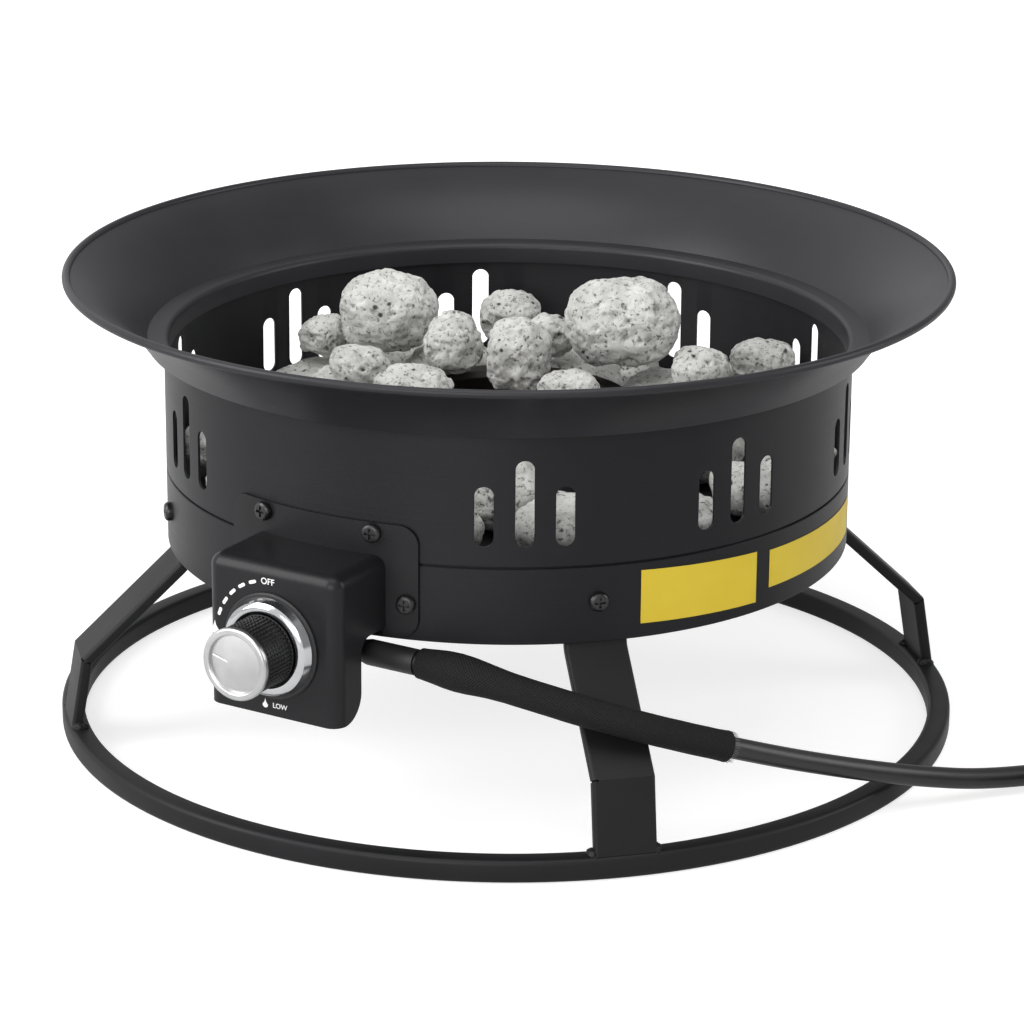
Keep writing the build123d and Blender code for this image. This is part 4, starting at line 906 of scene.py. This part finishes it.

# The weave is a dull black of fine crossed diagonals; the darker colour between the strands is painted
# shade in the gaps.
braid, braid_tree, braid_shader = new_material(
    "Woven_polyester_braid", Roughness=0.7, Specular_IOR_Level=0.2)
braid_strands = 28.0
strand_depth = 0.0004
braid_uv = add_node(braid_tree, "ShaderNodeUVMap", {"uv_map": "braid"}).outputs["UV"]
braid_split = add_node(braid_tree, "ShaderNodeSeparateXYZ", inputs={"Vector": braid_uv})
weave = []
for operation in ("ADD", "SUBTRACT"):
    lean = add_node(braid_tree, "ShaderNodeMath", {"operation": operation}, {
        0: braid_split.outputs["X"], 1: braid_split.outputs["Y"]})
    phase = add_node(braid_tree, "ShaderNodeMath", {"operation": "MULTIPLY"}, {
        0: lean.outputs["Value"], 1: braid_strands * math.tau})
    wave = add_node(braid_tree, "ShaderNodeMath", {"operation": "SINE"}, {0: phase.outputs["Value"]})
    weave.append(wave.outputs["Value"])
strands = add_node(braid_tree, "ShaderNodeMath", {"operation": "MAXIMUM"}, {0: weave[0], 1: weave[1]})
# Painted shade: the colour is darkest where the strands part.
braid_tint_and_gap_shade = add_node(braid_tree, "ShaderNodeValToRGB", inputs={"Fac": strands.outputs["Value"]})
braid_tint_and_gap_shade.color_ramp.elements[0].color = linear("#0a0a0a")
braid_tint_and_gap_shade.color_ramp.elements[1].color = linear("#1d1d1f")
braid_bump = add_node(braid_tree, "ShaderNodeBump", inputs={
    "Height": strands.outputs["Value"], "Strength": 0.6, "Distance": strand_depth})
braid_tree.links.new(braid_tint_and_gap_shade.outputs["Color"], braid_shader.inputs["Base Color"])
braid_tree.links.new(braid_bump.outputs["Normal"], braid_shader.inputs["Normal"])
settle(hose_sleeve, braid, "pit", "braid", "hose_sleeve")


def stray(strand, rate, row):
    """How far a cut strand strays from the rest, from -1 to 1."""
    return noise.noise(Vector((strand * rate, row, 0)))


# The cut fibres are painted a pale grey, a painted highlight for the light that they catch.
fray = moulded("Cut_polyester_fibre_painted_highlight", ("#3c3c3d", "#77777a"), roughness=0.6, grain=0.0012)
fray_count = 56
fray_shift = 0.4
fray_length, fray_length_spread = 0.0036, 0.0016
fray_lean, fray_lean_spread = 0.35, 0.3
fray_root, fray_tip = 0.00022, 0.0001
fray_seat_share = 0.35
cut_end = sleeve_rows[-1][1]
cut_along = (cut_end - sleeve_rows[-4][1]).normalized()
cut_across = cut_along.cross(Vector((0, 0, 1))).normalized()
cut_upward = cut_across.cross(cut_along)
fibres = []
for strand in range(fray_count):
    turn = math.tau * (strand + fray_shift * stray(strand, 1.7, 0)) / fray_count
    outward = cut_across * math.cos(turn) + cut_upward * math.sin(turn)
    length = fray_length + fray_length_spread * stray(strand, 2.3, 5)
    lean = fray_lean + fray_lean_spread * stray(strand, 3.1, 9)
    way = (cut_along + outward * lean).normalized()
    fibre = add_piece(bpy.ops.mesh.primitive_cone_add, vertices=5, radius1=fray_root, radius2=fray_tip,
                      depth=length)
    stand = Vector((0, 0, 1)).rotation_difference(way).to_matrix().to_4x4()
    seat = cut_end + outward * sleeve_radius + way * length * fray_seat_share
    fibre.data.transform(Matrix.Translation(seat) @ stand)
    fibres.append(fibre)
sleeve_fray = settle(joined(fibres, "hose_sleeve_fray"), fray, "pit", None)

# Coil tie: black hook-and-loop strap of woven nylon, closed round the coil's turns.
# The fuzzy weave is matt, with hardly a highlight.
strap = moulded("Woven_nylon_strap", ("#131313", "#1e1e1e"), roughness=0.8, grain=0.0012)
coil_tie = dress("coil_tie", "coil_tie_strap", strap, "pit", "strap")

# Hose end: crimped brass ferrule, die-cast zinc regulator with a screwed cap, and a brass nipple
# with a ribbed nylon hand nut that turns on it for the gas cylinder.
# The bare casting is a dull mid grey; its zinc-plated screws are brighter and cooler.
cast_grey = raw_metal("Die_cast_zinc_grey", ("#77797b", "#8d8f91"), roughness=0.5, lines=0.0016,
                      metallic=0.35)
zinc = raw_metal("Zinc_plated_steel", ("#a5a8ab", "#c2c4c6"), roughness=0.32, lines=0.0006)
end_pieces = [
    dress("end_ferrule", "end_ferrule_crimp", brass, "pit", "brass"),
    dress("regulator_body", "regulator_body_casting", cast_grey, "pit", "regulator_grey"),
    dress("regulator_cap", "regulator_cap_casting", cast_grey, "pit", "regulator_grey"),
    dress("regulator_screws", "regulator_screw_heads", zinc, "pit", "zinc"),
    dress("inlet_nipple", "inlet_nipple_nose", brass, "pit", "brass"),
    dress("coupling_nut", "coupling_nut_hand", black_plastic, "coupling", "black_plastic"),
]

# Stickers: two bare stickers of yellow polyester film, cut with square corners.
# Each is pressed on to the pan's wall by its own glue.
# The film is a flat, even yellow, a little clouded by the glue below it.
sticker_yellow, sticker_tree, sticker_shader = new_material("Bare_polyester_film_yellow", Roughness=0.5)
glue_cloud = 0.03
sticker_place = add_node(sticker_tree, "ShaderNodeTexCoord").outputs["Object"]
sticker_cloud = add_node(sticker_tree, "ShaderNodeTexNoise", inputs={
    "Vector": sticker_place, "Scale": grit(glue_cloud), "Detail": 3.0})
sticker_tint = add_node(sticker_tree, "ShaderNodeValToRGB", inputs={"Fac": sticker_cloud.outputs["Fac"]})
sticker_tint.color_ramp.elements[0].color = linear("#dcbc26")
sticker_tint.color_ramp.elements[1].color = linear("#ead03c")
sticker_tree.links.new(sticker_tint.outputs["Color"], sticker_shader.inputs["Base Color"])
sticker_lift = 0.00018
sticker_film = 0.0001
sticker_reach = drum_radius + sticker_lift
sticker_spots = (
    ("near", (52.7, 75.0), (0.110, 0.138), (0.108, 0.135)),
    ("far", (78.1, 111.3), (0.1135, 0.1335), (0.1125, 0.1315)),
)
for name, (start, end), left, right in sticker_spots:
    sticker = add_piece(bpy.ops.mesh.primitive_grid_add, x_subdivisions=32, y_subdivisions=2, size=1)
    sticker.name = f"sticker_{name}"
    bpy.ops.object.mode_set(mode="EDIT")
    bpy.ops.mesh.select_all(action="SELECT")
    bpy.ops.mesh.flip_normals()
    bpy.ops.object.mode_set(mode="OBJECT")
    for vertex in sticker.data.vertices:
        share, rise = vertex.co.x + 0.5, vertex.co.y + 0.5
        turn = math.radians(start + (end - start) * share)
        low, high = (left[side] + (right[side] - left[side]) * share for side in (0, 1))
        vertex.co = (sticker_reach * math.sin(turn), -sticker_reach * math.cos(turn),
                     low + (high - low) * rise)
    shape_by(sticker, "SOLIDIFY", thickness=sticker_film)
    settle(sticker, sticker_yellow, "pit", None)

# Studio: white paper floor, four soft lamps and a white surround, as for a catalogue picture.
# The paper glows a little towards the camera so that it ends in white and still takes the shadow.
# One side of the surround is shaded in reflections alone, so that the drum's right side stays dark.
floor_dip = 0.0003
floor = add_piece(bpy.ops.mesh.primitive_plane_add, size=16, location=(0, 0, -floor_dip))
floor.name = "studio_floor"
floor_white, floor_tree, floor_shader = new_material(
    "Matt_white_paper", Roughness=0.95, Specular_IOR_Level=0.0)
floor_gloss_share = 0.5
shadow_reach, white_reach = 0.35, 1.0
shadow_glow, white_glow = 0.72, 1.0
floor_shader.inputs["Base Color"].default_value = linear("#bababa")
floor_shader.inputs["Emission Color"].default_value = (1, 1, 1, 1)
floor_rays = add_node(floor_tree, "ShaderNodeLightPath")
floor_gloss = add_node(floor_tree, "ShaderNodeMath", {"operation": "MULTIPLY"}, {
    0: floor_rays.outputs["Is Glossy Ray"], 1: floor_gloss_share})
floor_seen = add_node(floor_tree, "ShaderNodeMath", {"operation": "MAXIMUM"}, {
    0: floor_rays.outputs["Is Camera Ray"], 1: floor_gloss.outputs["Value"]})
floor_any = add_node(floor_tree, "ShaderNodeMath", {"operation": "MAXIMUM"}, {
    0: floor_seen.outputs["Value"], 1: floor_rays.outputs["Is Transmission Ray"]})
floor_place = add_node(floor_tree, "ShaderNodeTexCoord").outputs["Object"]
floor_reach = add_node(floor_tree, "ShaderNodeVectorMath", {"operation": "LENGTH"}, {0: floor_place})
floor_fade = add_node(floor_tree, "ShaderNodeMapRange", inputs={
    "Value": floor_reach.outputs["Value"], "From Min": shadow_reach, "From Max": white_reach,
    "To Min": shadow_glow, "To Max": white_glow})
floor_glow = add_node(floor_tree, "ShaderNodeMath", {"operation": "MULTIPLY"}, {
    0: floor_any.outputs["Value"], 1: floor_fade.outputs["Result"]})
floor_tree.links.new(floor_glow.outputs["Value"], floor_shader.inputs["Emission Strength"])
floor.data.materials.append(floor_white)

lamp_aim = Vector((0, 0, 0.1))
softboxes = (
    ("left", -40, 30, 2.2, 1.2, 1.7, 36.0), ("right", 118, 22, 2.3, 1.1, 1.3, 15.0),
    ("front", 14, 16, 2.4, 1.6, 1.0, 22.0), ("top", 31, 74, 2.1, 1.6, 1.6, 20.0),
)
for name, azimuth, elevation, distance, wide, tall, power in softboxes:
    lamp_data = bpy.data.lights.new(f"softbox_{name}", "AREA")
    lamp_data.shape = "RECTANGLE"
    lamp_data.size = wide
    lamp_data.size_y = tall
    lamp_data.energy = power
    lamp = bpy.data.objects.new(f"softbox_{name}", lamp_data)
    bpy.context.scene.collection.objects.link(lamp)
    swing, rise = math.radians(azimuth), math.radians(elevation)
    away = Vector((math.sin(swing) * math.cos(rise), -math.cos(swing) * math.cos(rise), math.sin(rise)))
    facing = away.to_track_quat("Z", "Y").to_matrix().to_4x4()
    lamp.matrix_world = Matrix.Translation(away * distance + lamp_aim) @ facing

photo_pixels = 1024
focal_pixels = 3889.7
sensor = 36.0
camera_place = Vector((1.0309, -1.6956, 0.7741))
camera_angles = {"heading": 31.228, "pitch": 90 - 18.473, "roll": 0.419}
camera_data = bpy.data.cameras.new("photo_camera")
camera_data.sensor_width = sensor
camera_data.lens = focal_pixels / photo_pixels * sensor
camera_data.clip_end = 50
camera = bpy.data.objects.new("photo_camera", camera_data)
bpy.context.scene.collection.objects.link(camera)
heading, pitch, roll = (math.radians(angle) for angle in camera_angles.values())
camera.matrix_world = (Matrix.Translation(camera_place) @ Matrix.Rotation(heading, 4, "Z")
                       @ Matrix.Rotation(pitch, 4, "X") @ Matrix.Rotation(roll, 4, "Z"))
bpy.context.scene.camera = camera
bpy.context.scene.view_settings.view_transform = "Standard"

world = bpy.data.worlds.new("studio")
bpy.context.scene.world = world
world.use_nodes = True
sky = world.node_tree
background = sky.nodes["Background"]
background.inputs["Color"].default_value = (1, 1, 1, 1)
shaded_way = Vector((0.62, 0.77, 0.12)).normalized()
shaded_level = 0.3
shaded_from = 0.7
fill_level = 0.36
sky_rays = add_node(sky, "ShaderNodeLightPath")
sky_way = add_node(sky, "ShaderNodeTexCoord").outputs["Generated"]
sky_side = add_node(sky, "ShaderNodeVectorMath", {"operation": "DOT_PRODUCT"}, {0: sky_way, 1: shaded_way})
sky_shade = add_node(sky, "ShaderNodeMapRange", inputs={
    "Value": sky_side.outputs["Value"], "From Min": 0.0, "From Max": shaded_from,
    "To Min": 1.0, "To Max": shaded_level})
sky_gloss = add_node(sky, "ShaderNodeMath", {"operation": "MULTIPLY"}, {
    0: sky_rays.outputs["Is Glossy Ray"], 1: sky_shade.outputs["Result"]})
sky_seen = add_node(sky, "ShaderNodeMath", {"operation": "MAXIMUM"}, {
    0: sky_rays.outputs["Is Camera Ray"], 1: sky_gloss.outputs["Value"]})
sky_any = add_node(sky, "ShaderNodeMath", {"operation": "MAXIMUM"}, {
    0: sky_seen.outputs["Value"], 1: sky_rays.outputs["Is Transmission Ray"]})
sky_level = add_node(sky, "ShaderNodeMath", {"operation": "MAXIMUM"}, {
    0: sky_any.outputs["Value"], 1: fill_level})
sky.links.new(sky_level.outputs["Value"], background.inputs["Strength"])
